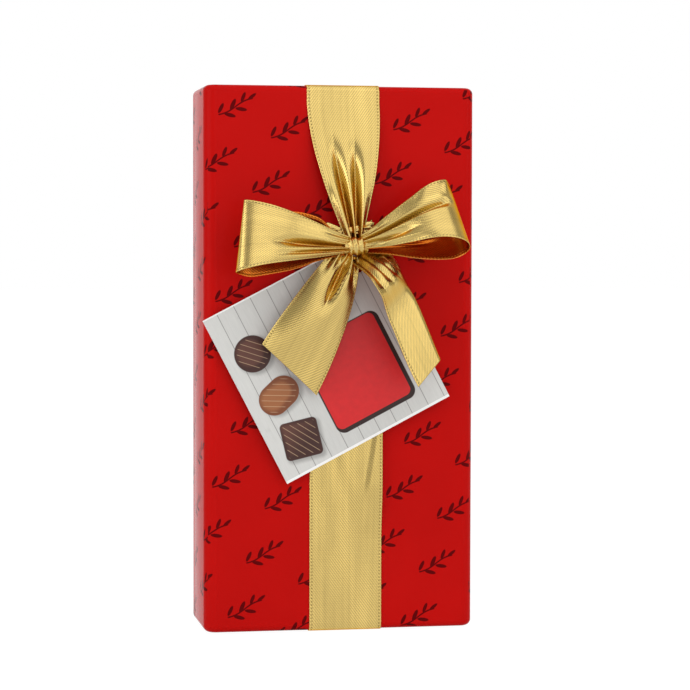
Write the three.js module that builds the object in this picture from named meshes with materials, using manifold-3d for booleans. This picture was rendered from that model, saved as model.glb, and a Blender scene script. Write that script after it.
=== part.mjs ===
// A gift box of chocolates: a base with moulded pralines in a tray, and a deep lift-off lid in printed paper,
// tied with a gold ribbon whose bow carries a folded tag.
// Millimetres, +Z up. The lid's face looks towards -Y. The origin is under the middle of the box, on the
// surface that the ribbon's lower turn stands on.
import * as THREE from 'three';
import { mergeVertices } from 'three/addons/utils/BufferGeometryUtils.js';
import { RoundedBoxGeometry } from 'three/addons/geometries/RoundedBoxGeometry.js';
import Module from 'manifold-3d';

const wasm = await Module();
wasm.setup();

// Lid: greyboard covered in printed paper that turns in over the rim
const LID_WIDTH = 95;
const LID_HEIGHT = 189;
const LID_DEPTH = 33;
const LID_EDGE_RADIUS = 2.6;
const LID_BOARD = 1.5;
const LID_TURN_IN = 12;
const PAPER = 0.25;
const GLUE_GAP = 0.1;
const LINER = 1;
const LINER_GAP = 0.2;
const LINER_MARGIN = 3;

// Base: a shallower tray that slides inside the lid until its rim is just short of the liner
const BASE_BOARD = 1.2;
const BASE_EDGE_RADIUS = 1.4;
const BASE_TURN_IN = 6;
const BASE_PROUD = 0.5;
const SLIDE_GAP = 0.4;
const RIM_GAP = 0.45;

// Formed tray that holds the pralines
const TRAY_WALL = 0.6;
const TRAY_GAP = 0.35;
const POCKET_DEPTH = 16;
const POCKET_CLEAR_OF_FLOOR = 5.45;
const POCKET_RADIUS = 8;
const POCKET_COLUMNS = 2;
const POCKET_ROWS = 4;
const POCKET_WEB = 8.45;

// Pralines, four designs in turn, each with its own clearance in its pocket
const PRALINE_HEADROOM = 5.1;
const DOME_CLEARANCE = 0.6;
const SQUARE_CLEARANCE = 3.1;
const OVAL_END_CLEARANCE = 0.6;
const OVAL_SIDE_CLEARANCE = 4.1;
const HEART_CLEARANCE = 1.1;
const PRALINE_FOOT_BEVEL = 1.2;
const PRALINE_CROWN = 5;

// Ribbon band round the lid
const RIBBON_WIDTH = 25.4;
const RIBBON = 0.4;
const RIBBON_GAP = 0.2;
const UPPER_SHIFT = 0.7;
const LOWER_SHIFT = 1.8;
const RIBBON_TUCK = 9;
const TUCK_BEND = 0.5;
const UPPER_FLAT = 3.5;
const LOWER_GATHER = 62;
const LOWER_NECK_SHIFT = -2;
const UPPER_LIFT_EASE = 1.5;
const LOWER_GATHER_EASE = 1.3;
const TAPE = 0.15;
const TAPE_WIDTH = 19;
const TAPE_LENGTH = 6;
const TAPE_CORNER = 0.3;
const BAND_KNOT_WIDTH = 12;
const BAND_KNOT_HEIGHT = 5;
const BAND_KNOT_DEPTH = 5.75;
const BAND_KNOT_RADIUS = 2.27;
const BAND_KNOT_RISE = 2;

// Bow: the knot's place is given from the lid's top edge and face
const KNOT_DROP = 55.4;
const KNOT_SHIFT = 3;
const KNOT_OUT = 11.5;
const KNOT_LENGTH = 8;
const KNOT_DIAMETER = 6.6;
const KNOT_CROWN = 0.5;
const NECK_WIDTH = 5.6;
const PLEAT_DEPTH = 1;
const PLEAT_WAVES = 1.5;
const LAYER_SPACE = 3.6;
const SEAT_GAP = 0.3;

// Loops: length from the knot, angles of rise, flare and lean, swell of the teardrop and slant of the far end
const LEFT_LOOP = { side: -1, length: 37, rise: 5, flare: 11, lean: 16, swell: 5.5, slant: 1.5 };
const RIGHT_LOOP = { side: 1, length: 32, rise: 18.5, flare: 9, lean: 34, swell: 5.5, slant: 0 };

// Tails: where each ends from its root, how it curves across, how it turns and is cut, and the curve's
// handles as shares of reach and drop with their own distance out
const LEFT_TAIL = {
  root: -2.9,
  reach: -19.35,
  drop: 37.9,
  out: 8.5,
  arch: 60,
  curl: 8,
  turn: 0,
  cut: 6,
  leave: { reach: 0.21, drop: 0.26, out: 14 },
  arrive: { reach: 0.58, drop: 0.61, out: 14 },
};
const RIGHT_TAIL = {
  root: 2.6,
  reach: 25.15,
  drop: 36.7,
  out: 16.5,
  arch: 30,
  curl: 85,
  turn: 55,
  cut: -1,
  leave: { reach: 0.54, drop: 0.1, out: 20 },
  arrive: { reach: 0.74, drop: 0.51, out: 16.5 },
};
const TAIL_SPREAD = 0.8;
const LEAST_CURL = 0.5;

// Tag: two leaves folded along the upper left edge, hung on a cord near the upper corner
const TAG_LENGTH = 64.5;
const TAG_WIDTH = 63;
const TAG_CARD = 0.35;
const TAG_ANGLE = 27.5;
const LEAF_GAP = 0.3;
const HOLE_DIAMETER = 4.2;
const HOLE_INSET = 8;
const HOLE_SHIFT = 2.5;
const HOLE_DROP = 7;
const CORD_DIAMETER = 1;
const CORD_KNOT = 1.2;

// Steps that the curved surfaces are drawn in
const EDGE_STEPS = 3;
const ROUND_STEPS = 24;
const RIBBON_LANES = 8;
const GATHER_STEPS = 12;
const LOOP_STEPS = 24;
const TAIL_STEPS = 16;
const CORD_STEPS = 10;
const CORD_SIDES = 8;
const WELD = 1e-4;
const RIGHT_ANGLE = Math.PI / 2;
const radians = THREE.MathUtils.degToRad;
const lerp = THREE.MathUtils.lerp;

// Places that follow from the sizes
const FRONT = -LID_DEPTH / 2;
const LID_RIM = LID_DEPTH / 2;
const LID_BOTTOM = RIBBON + RIBBON_GAP;
const LID_TOP = LID_BOTTOM + LID_HEIGHT;
const MIDDLE = LID_BOTTOM + LID_HEIGHT / 2;
const LID_WALL = PAPER + GLUE_GAP + LID_BOARD + GLUE_GAP + PAPER;
const LID_INSIDE = FRONT + PAPER + GLUE_GAP + LID_BOARD;
const LINER_BACK = LID_INSIDE + LINER_GAP + LINER;
const END_GAP = RIBBON_GAP + RIBBON + GLUE_GAP + TAPE + SLIDE_GAP;
const BASE_WIDTH = LID_WIDTH - 2 * (LID_WALL + SLIDE_GAP);
const BASE_HEIGHT = LID_HEIGHT - 2 * (LID_WALL + END_GAP);
const BASE_BACK = LID_RIM + BASE_PROUD;
const BASE_RIM = LINER_BACK + RIM_GAP;
const BASE_DEPTH = BASE_BACK - BASE_RIM;
const BASE_WALL = PAPER + GLUE_GAP + BASE_BOARD + GLUE_GAP + PAPER;
const BASE_FLOOR = BASE_BACK - PAPER - GLUE_GAP - BASE_BOARD;
const POCKET_END = BASE_FLOOR - POCKET_CLEAR_OF_FLOOR;
const PRALINE_SEAT = POCKET_END - TRAY_WALL - SEAT_GAP;
const PRALINE_HEIGHT = PRALINE_SEAT - BASE_RIM - PRALINE_HEADROOM;
const KNOT_HEIGHT = LID_TOP - KNOT_DROP;
const KNOT_TOP = KNOT_HEIGHT + KNOT_DIAMETER / 2;
const KNOT_FOOT = KNOT_HEIGHT - KNOT_DIAMETER / 2;
const TAG_OUT = RIBBON_GAP + RIBBON + SEAT_GAP + CORD_KNOT + SEAT_GAP;

const PAINT = {
  redPaper: { color: 0xb91a18, roughness: 0.28, metalness: 0 },
  greyBoard: { color: 0xb9b2a6, roughness: 0.85, metalness: 0 },
  whiteLiner: { color: 0xf1ece2, roughness: 0.7, metalness: 0 },
  goldTray: { color: 0xb98a3a, roughness: 0.3, metalness: 0.4 },
  goldRibbon: { color: 0xd3b561, roughness: 0.35, metalness: 0.8 },
  whiteCard: { color: 0xd4d4d0, roughness: 0.5, metalness: 0 },
  clearTape: { color: 0xe6dfc8, roughness: 0.3, metalness: 0 },
  darkChocolate: { color: 0x2b1410, roughness: 0.35, metalness: 0 },
  milkChocolate: { color: 0x5b2f1a, roughness: 0.4, metalness: 0 },
  whiteChocolate: { color: 0xead9b4, roughness: 0.45, metalness: 0 },
};

const box = new THREE.Group();

function addMesh(name, geometry, paint) {
  const mesh = new THREE.Mesh(geometry, new THREE.MeshStandardMaterial(paint));
  mesh.name = name;
  box.add(mesh);
  return mesh;
}

// A closed three.js geometry as a solid that can be joined and cut
function solidOf(geometry) {
  const bare = new THREE.BufferGeometry();
  bare.setAttribute('position', geometry.getAttribute('position'));
  bare.setIndex(geometry.index);
  const merged = mergeVertices(bare, WELD);
  return new wasm.Manifold(
    new wasm.Mesh({
      numProp: 3,
      vertProperties: new Float32Array(merged.attributes.position.array),
      triVerts: new Uint32Array(merged.index.array),
    }),
  );
}

function geometryOf(solid) {
  const mesh = solid.getMesh();
  const geometry = new THREE.BufferGeometry();
  geometry.setAttribute('position', new THREE.BufferAttribute(mesh.vertProperties, 3));
  geometry.setIndex(new THREE.BufferAttribute(mesh.triVerts, 1));
  geometry.computeVertexNormals();
  return geometry;
}

// A point in front of the lid's face: to the right, out from the face, and up
function before(right, out, up) {
  return new THREE.Vector3(right, FRONT - out, up);
}

// A block with soft edges whose flat end lies at rim, reaching depth towards side (-1 front, 1 back)
function softBlock(width, height, depth, radius, rim, side) {
  const round = Math.min(radius, depth, width / 2, height / 2);
  const whole = new RoundedBoxGeometry(width, 2 * depth, height, EDGE_STEPS, round);
  const keep = new THREE.BoxGeometry(2 * width, 2 * depth, 2 * height);
  whole.translate(0, rim, MIDDLE);
  keep.translate(0, rim + side * depth, MIDDLE);
  return solidOf(whole).intersect(solidOf(keep));
}

// A straight prism with round corners, from one place to another along Y
function cornerPrism(width, height, radius, from, to) {
  const shape = roundedRectangle(width, height, radius);
  return solidOf(plate(shape, Math.abs(to - from), Math.max(from, to)).translate(0, 0, MIDDLE));
}

function roundedRectangle(width, height, radius) {
  const x = width / 2;
  const y = height / 2;
  const shape = new THREE.Shape();
  shape.moveTo(-x + radius, -y);
  shape.lineTo(x - radius, -y);
  shape.absarc(x - radius, -y + radius, radius, -RIGHT_ANGLE, 0);
  shape.absarc(x - radius, y - radius, radius, 0, RIGHT_ANGLE);
  shape.absarc(-x + radius, y - radius, radius, RIGHT_ANGLE, Math.PI);
  shape.absarc(-x + radius, -y + radius, radius, Math.PI, 3 * RIGHT_ANGLE);
  return shape;
}

// A flat plate drawn facing the viewer, with its back face at back
function plate(shape, thickness, back, options = {}) {
  const extruded = new THREE.ExtrudeGeometry(shape, {
    depth: thickness,
    bevelEnabled: false,
    curveSegments: EDGE_STEPS,
    ...options,
  });
  return extruded.rotateX(RIGHT_ANGLE).translate(0, back, 0);
}

// The board of a lid or base: an open tray with one closed end
function boardTray(width, height, depth, radius, wall, rim, side) {
  const skin = PAPER + GLUE_GAP;
  const edge = rim + side * skin;
  const outerWidth = width - 2 * skin;
  const outerHeight = height - 2 * skin;
  const outer = softBlock(outerWidth, outerHeight, depth - 2 * skin, radius - skin, edge, side);
  const inner = softBlock(
    outerWidth - 2 * wall,
    outerHeight - 2 * wall,
    depth - skin - wall,
    Math.max(radius - skin - wall, wall / 2),
    rim,
    side,
  );
  return outer.subtract(inner);
}

// The paper over that board: its outside, over the rim and turned in
function paperCover(width, height, depth, radius, wall, rim, side, turnIn) {
  const inset = 2 * (PAPER + 2 * GLUE_GAP + wall);
  const corner = Math.max(radius - inset / 2, wall);
  const outer = softBlock(width, height, depth, radius, rim, side);
  const boardSpace = softBlock(
    width - 2 * PAPER,
    height - 2 * PAPER,
    depth - 2 * PAPER,
    radius - PAPER,
    rim + side * PAPER,
    side,
  );
  const flap = cornerPrism(width - inset, height - inset, corner, rim, rim + side * turnIn);
  const mouth = cornerPrism(
    width - inset - 2 * PAPER,
    height - inset - 2 * PAPER,
    corner,
    rim - side * turnIn,
    rim + side * 2 * turnIn,
  );
  return outer.subtract(boardSpace.subtract(flap)).subtract(mouth);
}

function buildLid() {
  const size = [LID_WIDTH, LID_HEIGHT, LID_DEPTH, LID_EDGE_RADIUS, LID_BOARD, LID_RIM, -1];
  addMesh('lid_board', geometryOf(boardTray(...size)), PAINT.greyBoard);
  addMesh('lid_wrap', geometryOf(paperCover(...size, LID_TURN_IN)), PAINT.redPaper);

  const sheet = roundedRectangle(
    LID_WIDTH - 2 * (LID_WALL + LINER_MARGIN),
    LID_HEIGHT - 2 * (LID_WALL + LINER_MARGIN),
    LINER_MARGIN,
  );
  const liner = plate(sheet, LINER, LINER_BACK).translate(0, 0, MIDDLE);
  addMesh('lid_liner', liner, PAINT.whiteLiner);
}

function buildBase() {
  const size = [BASE_WIDTH, BASE_HEIGHT, BASE_DEPTH, BASE_EDGE_RADIUS, BASE_BOARD, BASE_RIM, 1];
  addMesh('base_board', geometryOf(boardTray(...size)), PAINT.greyBoard);
  addMesh('base_wrap', geometryOf(paperCover(...size, BASE_TURN_IN)), PAINT.redPaper);
}

// Centres of the pockets, evenly spread over the tray
function pocketCentres(trayWidth, trayHeight) {
  const centres = [];
  for (let row = 0; row < POCKET_ROWS; row++) {
    for (let column = 0; column < POCKET_COLUMNS; column++) {
      const x = ((column + 0.5) / POCKET_COLUMNS - 0.5) * trayWidth;
      const z = MIDDLE + (0.5 - (row + 0.5) / POCKET_ROWS) * trayHeight;
      centres.push([x, z]);
    }
  }
  return centres;
}

// A round praline turned about its own height, foot at 0 and crown towards -Y
function domePraline(length, width) {
  const radius = length / 2;
  const shoulder = PRALINE_HEIGHT - PRALINE_CROWN;
  const outline = new THREE.Path();
  outline.moveTo(0, 0);
  outline.lineTo(radius - 2 * PRALINE_FOOT_BEVEL, 0);
  outline.lineTo(radius, PRALINE_FOOT_BEVEL);
  outline.bezierCurveTo(radius, shoulder, radius / 2, PRALINE_HEIGHT, 0, PRALINE_HEIGHT);
  const turned = new THREE.LatheGeometry(outline.getPoints(2 * EDGE_STEPS), ROUND_STEPS);
  return turned.scale(1, 1, width / length).rotateX(Math.PI);
}

// A moulded praline with an extruded outline, a bevelled foot and a bevelled crown
function mouldedPraline(shape) {
  const bevel = {
    bevelEnabled: true,
    bevelThickness: PRALINE_CROWN / 2,
    bevelSize: PRALINE_CROWN / 2,
    bevelOffset: -PRALINE_CROWN / 2,
    bevelSegments: EDGE_STEPS,
  };
  return plate(shape, PRALINE_HEIGHT - PRALINE_CROWN, -PRALINE_CROWN / 2, bevel);
}

function heartOutline(width) {
  const lobe = width / 4;
  const shape = new THREE.Shape();
  shape.moveTo(0, -1.8 * lobe);
  shape.bezierCurveTo(lobe, -1.2 * lobe, 2 * lobe, -0.6 * lobe, 2 * lobe, 0.6 * lobe);
  shape.bezierCurveTo(2 * lobe, 2 * lobe, 0.6 * lobe, 2.1 * lobe, 0, 1.3 * lobe);
  shape.bezierCurveTo(-0.6 * lobe, 2.1 * lobe, -2 * lobe, 2 * lobe, -2 * lobe, 0.6 * lobe);
  shape.bezierCurveTo(-2 * lobe, -0.6 * lobe, -lobe, -1.2 * lobe, 0, -1.8 * lobe);
  return shape;
}

function buildChocolates() {
  const trayWidth = BASE_WIDTH - 2 * (BASE_WALL + TRAY_GAP);
  const trayHeight = BASE_HEIGHT - 2 * (BASE_WALL + TRAY_GAP);
  const flange = POCKET_END - POCKET_DEPTH;
  const pocket = Math.min(trayWidth / POCKET_COLUMNS, trayHeight / POCKET_ROWS) - POCKET_WEB;
  const centres = pocketCentres(trayWidth, trayHeight);
  const corner = Math.max(BASE_EDGE_RADIUS, TRAY_WALL);
  const skirtEnd = BASE_FLOOR - TRAY_GAP;
  const inside = [trayWidth - 2 * TRAY_WALL, trayHeight - 2 * TRAY_WALL, corner];

  let tray = cornerPrism(trayWidth, trayHeight, corner, flange, skirtEnd);
  let hollow = cornerPrism(...inside, flange + TRAY_WALL, skirtEnd + TRAY_WALL);
  for (const [x, z] of centres) {
    const cup = roundedRectangle(pocket + 2 * TRAY_WALL, pocket + 2 * TRAY_WALL, POCKET_RADIUS + TRAY_WALL);
    hollow = hollow.subtract(solidOf(plate(cup, POCKET_DEPTH, POCKET_END).translate(x, 0, z)));
  }
  tray = tray.subtract(hollow);
  for (const [x, z] of centres) {
    const well = roundedRectangle(pocket, pocket, POCKET_RADIUS);
    tray = tray.subtract(solidOf(plate(well, POCKET_DEPTH, POCKET_END - TRAY_WALL).translate(x, 0, z)));
  }
  addMesh('praline_tray', geometryOf(tray), PAINT.goldTray);

  const diameter = pocket - 2 * DOME_CLEARANCE;
  const side = pocket - 2 * SQUARE_CLEARANCE;
  const ovalSize = [pocket - 2 * OVAL_END_CLEARANCE, pocket - 2 * OVAL_SIDE_CLEARANCE];
  const heartWidth = pocket - 2 * HEART_CLEARANCE;
  const designs = [
    { name: 'dome', paint: PAINT.darkChocolate, make: () => domePraline(diameter, diameter) },
    {
      name: 'square',
      paint: PAINT.milkChocolate,
      make: () => mouldedPraline(roundedRectangle(side, side, PRALINE_CROWN)),
    },
    { name: 'oval', paint: PAINT.whiteChocolate, make: () => domePraline(...ovalSize) },
    { name: 'heart', paint: PAINT.darkChocolate, make: () => mouldedPraline(heartOutline(heartWidth)) },
  ];
  centres.forEach(([x, z], index) => {
    const design = designs[(index + Math.floor(index / designs.length)) % designs.length];
    const praline = addMesh(`praline_${index + 1}_${design.name}`, design.make(), design.paint);
    praline.position.set(x, PRALINE_SEAT, z);
  });
}

// A thin closed sheet round the surface point(u, v), u along the ribbon and v across it, both from 0 to 1
function ribbonSheet(steps, lanes, point) {
  const nudge = 1e-4;
  const span = lanes + 1;
  const faceSize = (steps + 1) * span;
  const corners = [[], []];
  for (let i = 0; i <= steps; i++) {
    for (let j = 0; j <= lanes; j++) {
      const u = i / steps;
      const v = j / lanes;
      const along = point(Math.min(u + nudge, 1), v).sub(point(Math.max(u - nudge, 0), v));
      const across = point(u, Math.min(v + nudge, 1)).sub(point(u, Math.max(v - nudge, 0)));
      const half = along.cross(across).setLength(RIBBON / 2);
      const middle = point(u, v);
      corners[0].push(...middle.clone().add(half).toArray());
      corners[1].push(...middle.clone().sub(half).toArray());
    }
  }

  const triangles = [];
  const quad = (a, b, c, d) => triangles.push(a, b, c, a, c, d);
  const wall = (p, q) => quad(q, p, p + faceSize, q + faceSize);
  for (let i = 0; i < steps; i++) {
    for (let j = 0; j < lanes; j++) {
      const a = i * span + j;
      const b = a + span;
      quad(a, b, b + 1, a + 1);
      quad(a + faceSize, a + 1 + faceSize, b + 1 + faceSize, b + faceSize);
    }
    wall(i * span, (i + 1) * span);
    wall((i + 1) * span + lanes, i * span + lanes);
  }
  for (let j = 0; j < lanes; j++) {
    wall(steps * span + j, steps * span + j + 1);
    wall(j + 1, j);
  }
  const geometry = new THREE.BufferGeometry();
  geometry.setAttribute('position', new THREE.Float32BufferAttribute(corners.flat(), 3));
  geometry.setIndex(triangles);
  geometry.computeVertexNormals();
  return geometry;
}

// The ribbon's middle line round one end of the lid, as depth and height, up to where it starts to gather
function endTurn(end, gatherStart) {
  const sign = end === 'top' ? 1 : -1;
  const middle = RIBBON_GAP + RIBBON / 2;
  const outside = LID_HEIGHT / 2 + middle;
  const inside = LID_HEIGHT / 2 - LID_WALL - middle;
  const back = LID_RIM + middle;
  const round = LID_EDGE_RADIUS + middle;
  const line = new THREE.Path();
  line.moveTo(LID_RIM - RIBBON_TUCK, inside);
  line.lineTo(back - TUCK_BEND, inside);
  line.absarc(back - TUCK_BEND, inside + TUCK_BEND, TUCK_BEND, -RIGHT_ANGLE, 0);
  line.absarc(back - TUCK_BEND, outside - TUCK_BEND, TUCK_BEND, 0, RIGHT_ANGLE);
  line.absarc(FRONT + LID_EDGE_RADIUS, outside - round, round, RIGHT_ANGLE, Math.PI);
  line.lineTo(FRONT - middle, sign * (gatherStart - MIDDLE));
  return line.getPoints(EDGE_STEPS).map((p) => new THREE.Vector2(p.x, MIDDLE + sign * p.y));
}

// One run of the band: round an end of the lid, then gathered from full width to a pleated neck
function bandRun(end, gather) {
  const turn = endTurn(end, gather.start);
  const steps = turn.length - 1 + GATHER_STEPS;
  const point = (u, v) => {
    const place = u * steps;
    const side = 2 * v - 1;
    if (place <= turn.length - 1) {
      const index = THREE.MathUtils.clamp(Math.floor(place), 0, turn.length - 2);
      const middle = turn[index].clone().lerp(turn[index + 1], place - index);
      return new THREE.Vector3(gather.shift + (side * RIBBON_WIDTH) / 2, middle.x, middle.y);
    }
    const draw = (place - turn.length + 1) / GATHER_STEPS;
    const width = lerp(NECK_WIDTH, RIBBON_WIDTH, gather.ease(1 - draw));
    const pleat = gather.pleatDepth * draw ** 2 * Math.cos(PLEAT_WAVES * Math.PI * side);
    const centre = lerp(gather.shift, gather.neck, draw);
    const out = RIBBON_GAP + RIBBON / 2 + gather.lift * draw ** UPPER_LIFT_EASE;
    return before(centre + (side * width) / 2, out + pleat, lerp(gather.start, gather.end, draw));
  };
  return ribbonSheet(steps, RIBBON_LANES, point);
}

function buildBand() {
  const bandKnotFoot = KNOT_TOP + BAND_KNOT_RISE;
  const upper = {
    start: LID_TOP - LID_EDGE_RADIUS - UPPER_FLAT,
    end: KNOT_TOP + SEAT_GAP,
    shift: UPPER_SHIFT,
    neck: KNOT_SHIFT,
    lift: KNOT_OUT - RIBBON_GAP - RIBBON / 2,
    pleatDepth: PLEAT_DEPTH,
    ease: (share) => Math.sin(share * RIGHT_ANGLE),
  };
  const lower = {
    start: bandKnotFoot - LOWER_GATHER,
    end: bandKnotFoot - SEAT_GAP,
    shift: LOWER_SHIFT,
    neck: KNOT_SHIFT + LOWER_NECK_SHIFT,
    lift: 0,
    pleatDepth: 0,
    ease: (share) => share ** LOWER_GATHER_EASE,
  };
  addMesh('ribbon_upper', bandRun('top', upper), PAINT.goldRibbon);
  addMesh('ribbon_lower', bandRun('bottom', lower), PAINT.goldRibbon);

  // The half knot that joins the two runs, behind the neck of the upper one
  const size = [BAND_KNOT_WIDTH, BAND_KNOT_DEPTH, BAND_KNOT_HEIGHT];
  const lump = new RoundedBoxGeometry(...size, EDGE_STEPS, Math.min(BAND_KNOT_RADIUS, BAND_KNOT_HEIGHT / 2));
  const middle = KNOT_SHIFT + LOWER_NECK_SHIFT / 2;
  const centre = before(middle, RIBBON_GAP + BAND_KNOT_DEPTH / 2, bandKnotFoot + BAND_KNOT_HEIGHT / 2);
  addMesh('band_knot', geometryOf(solidOf(lump)), PAINT.goldRibbon).position.copy(centre);

  const tape = roundedRectangle(TAPE_WIDTH, TAPE_LENGTH, TAPE_CORNER);
  const tapes = [
    ['top', 1, UPPER_SHIFT],
    ['bottom', -1, LOWER_SHIFT],
  ];
  for (const [name, sign, shift] of tapes) {
    const flat = { depth: TAPE, bevelEnabled: false, curveSegments: EDGE_STEPS };
    const strip = new THREE.ExtrudeGeometry(tape, flat);
    const inside = LID_HEIGHT / 2 - LID_WALL - RIBBON_GAP - RIBBON - GLUE_GAP - TAPE / 2;
    strip.translate(shift, LID_RIM - RIBBON_TUCK, MIDDLE + sign * inside - TAPE / 2);
    addMesh(`ribbon_tape_${name}`, strip, PAINT.clearTape);
  }
}

// One loop of the bow: a teardrop that leaves the knot, turns and comes back, gathered at the knot
function bowLoop(loop) {
  const rise = radians(loop.rise);
  const flare = radians(loop.flare);
  const lean = radians(loop.lean);
  const level = Math.cos(flare);
  const away = loop.side * level * Math.cos(rise);
  const axis = new THREE.Vector3(away, -Math.sin(flare), level * Math.sin(rise));
  const upright = new THREE.Vector3(-loop.side * Math.sin(rise), 0, Math.cos(rise));
  const facing = upright.clone().cross(axis).multiplyScalar(-loop.side);
  const across = upright.clone().multiplyScalar(Math.cos(lean)).addScaledVector(facing, -Math.sin(lean));
  const outward = facing.clone().multiplyScalar(Math.cos(lean)).addScaledVector(upright, Math.sin(lean));
  const slant = (NECK_WIDTH / 2) * Math.sin(Math.max(rise, flare));
  const start = KNOT_LENGTH / 2 + SEAT_GAP + slant;
  const root = before(KNOT_SHIFT, KNOT_OUT, KNOT_HEIGHT).addScaledVector(axis, start);

  const profile = (u) => {
    const turn = Math.PI * u;
    const open = Math.max(Math.sin(turn), 0);
    const layer = (LAYER_SPACE / 2) * Math.cos(turn);
    const belly = loop.swell * Math.sin(2 * turn) * Math.sqrt(open);
    return new THREE.Vector2(loop.length * Math.sin(turn), layer + belly);
  };
  const point = (u, v) => {
    const open = Math.max(Math.sin(Math.PI * u), 0);
    const side = 2 * v - 1;
    const nudge = 1e-3;
    const tangent = profile(u + nudge).sub(profile(u - nudge)).normalize();
    const pleat = PLEAT_DEPTH * (1 - open) ** 2 * Math.cos(PLEAT_WAVES * Math.PI * side);
    const middle = profile(u).add(new THREE.Vector2(-tangent.y, tangent.x).multiplyScalar(pleat));
    const half = lerp(NECK_WIDTH, RIBBON_WIDTH, open) / 2;
    return root
      .clone()
      .addScaledVector(axis, middle.x - loop.slant * side * open)
      .addScaledVector(outward, middle.y)
      .addScaledVector(across, side * half);
  };
  return ribbonSheet(LOOP_STEPS, RIBBON_LANES, point);
}

// One tail: a curve that leaves the knot's underside and hangs in front of the tag, cut aslant
function bowTail(tail) {
  const foot = KNOT_FOOT - SEAT_GAP - NECK_WIDTH / 8;
  const place = (reach, out, drop) => before(KNOT_SHIFT + tail.root + reach, out, foot - drop);
  const handle = (at) => place(at.reach * tail.reach, at.out, at.drop * tail.drop);
  const root = place(0, KNOT_OUT, 0);
  const end = place(tail.reach, tail.out, tail.drop);
  const curve = new THREE.CubicBezierCurve3(root, handle(tail.leave), handle(tail.arrive), end);
  const length = Math.hypot(tail.reach, tail.drop);
  const level = new THREE.Vector3(tail.drop / length, 0, tail.reach / length);
  const out = new THREE.Vector3(0, -1, 0);
  const point = (u, v) => {
    const side = 2 * v - 1;
    const along = u * (1 + (tail.cut * side) / (2 * length));
    const spread = Math.sin(u * RIGHT_ANGLE) ** TAIL_SPREAD;
    const width = lerp(NECK_WIDTH, RIBBON_WIDTH, spread);
    const pleat = PLEAT_DEPTH * (1 - spread) * Math.cos(PLEAT_WAVES * Math.PI * side);
    const bend = radians(LEAST_CURL + 4 * tail.arch * u * (1 - u) + tail.curl * u);
    const radius = width / bend;
    const facing = radians(tail.turn) * spread;
    const angle = facing + (bend * side) / 2;
    return curve
      .getPoint(along)
      .addScaledVector(level, radius * (Math.sin(angle) - Math.sin(facing)))
      .addScaledVector(out, pleat + radius * (Math.cos(angle) - Math.cos(facing)));
  };
  return ribbonSheet(TAIL_STEPS, RIBBON_LANES, point);
}

function buildBow() {
  const barrel = new THREE.Path();
  const half = KNOT_LENGTH / 2;
  const radius = KNOT_DIAMETER / 2;
  barrel.moveTo(0, -half);
  barrel.lineTo(radius - KNOT_CROWN, -half);
  barrel.quadraticCurveTo(radius + KNOT_CROWN, 0, radius - KNOT_CROWN, half);
  barrel.lineTo(0, half);
  const knot = new THREE.LatheGeometry(barrel.getPoints(2 * EDGE_STEPS), ROUND_STEPS / 2);
  knot.rotateZ(-RIGHT_ANGLE);
  const centre = before(KNOT_SHIFT, KNOT_OUT, KNOT_HEIGHT);
  addMesh('bow_knot', knot, PAINT.goldRibbon).position.copy(centre);

  addMesh('bow_loop_left', bowLoop(LEFT_LOOP), PAINT.goldRibbon);
  addMesh('bow_loop_right', bowLoop(RIGHT_LOOP), PAINT.goldRibbon);
  addMesh('bow_tail_left', bowTail(LEFT_TAIL), PAINT.goldRibbon);
  addMesh('bow_tail_right', bowTail(RIGHT_TAIL), PAINT.goldRibbon);
}

// One leaf of the tag, drawn round its punched hole before the tag is turned
function tagLeaf() {
  const leaf = new THREE.Shape();
  const right = HOLE_INSET;
  const top = HOLE_INSET;
  leaf.moveTo(right - TAG_LENGTH, top - TAG_WIDTH);
  leaf.lineTo(right, top - TAG_WIDTH);
  leaf.lineTo(right, top);
  leaf.lineTo(right - TAG_LENGTH, top);
  leaf.closePath();
  const hole = new THREE.Path();
  hole.absarc(0, 0, HOLE_DIAMETER / 2, 0, 2 * Math.PI, true);
  leaf.holes.push(hole);
  return leaf;
}

function buildTag() {
  const hole = before(KNOT_SHIFT + HOLE_SHIFT, 0, KNOT_HEIGHT - HOLE_DROP);
  const outs = { tag_back_leaf: TAG_OUT, tag_front_leaf: TAG_OUT + TAG_CARD + LEAF_GAP };
  for (const [name, out] of Object.entries(outs)) {
    const card = plate(tagLeaf(), TAG_CARD, 0, { curveSegments: ROUND_STEPS / 2 });
    const leaf = addMesh(name, card, PAINT.whiteCard);
    leaf.position.set(hole.x, FRONT - out, hole.z);
    leaf.rotation.y = -radians(TAG_ANGLE);
  }

  // The cord comes from the knot, passes through the hole at its upper edge and is knotted behind the tag
  const strand = hole.z + HOLE_DIAMETER / 2 - CORD_DIAMETER / 2 - SEAT_GAP;
  const stop = TAG_OUT - SEAT_GAP - CORD_KNOT / 2;
  const back = KNOT_OUT - KNOT_DIAMETER / 2;
  const route = new THREE.CatmullRomCurve3([
    before(hole.x, stop, strand),
    before(hole.x, (stop + back) / 2, strand),
    before(hole.x, back - CORD_DIAMETER, strand),
    before(hole.x - CORD_DIAMETER / 2, back, strand + CORD_DIAMETER),
    before(hole.x - CORD_DIAMETER, back, KNOT_FOOT),
  ]);
  const section = new THREE.Shape().absarc(0, 0, CORD_DIAMETER / 2, 0, 2 * Math.PI);
  const round = { extrudePath: route, steps: CORD_STEPS, curveSegments: CORD_SIDES / 2 };
  const tube = new THREE.ExtrudeGeometry(section, round);
  const flat = HOLE_DIAMETER / CORD_KNOT;
  const knot = new THREE.SphereGeometry(CORD_KNOT / 2, CORD_SIDES, CORD_SIDES / 2).scale(flat, 1, flat);
  knot.translate(hole.x, FRONT - stop, strand + CORD_DIAMETER);
  addMesh('tag_cord', geometryOf(solidOf(tube).add(solidOf(knot))), PAINT.goldRibbon);
}

buildBase();
buildChocolates();
buildLid();
buildBand();
buildBow();
buildTag();

export default box;
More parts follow.
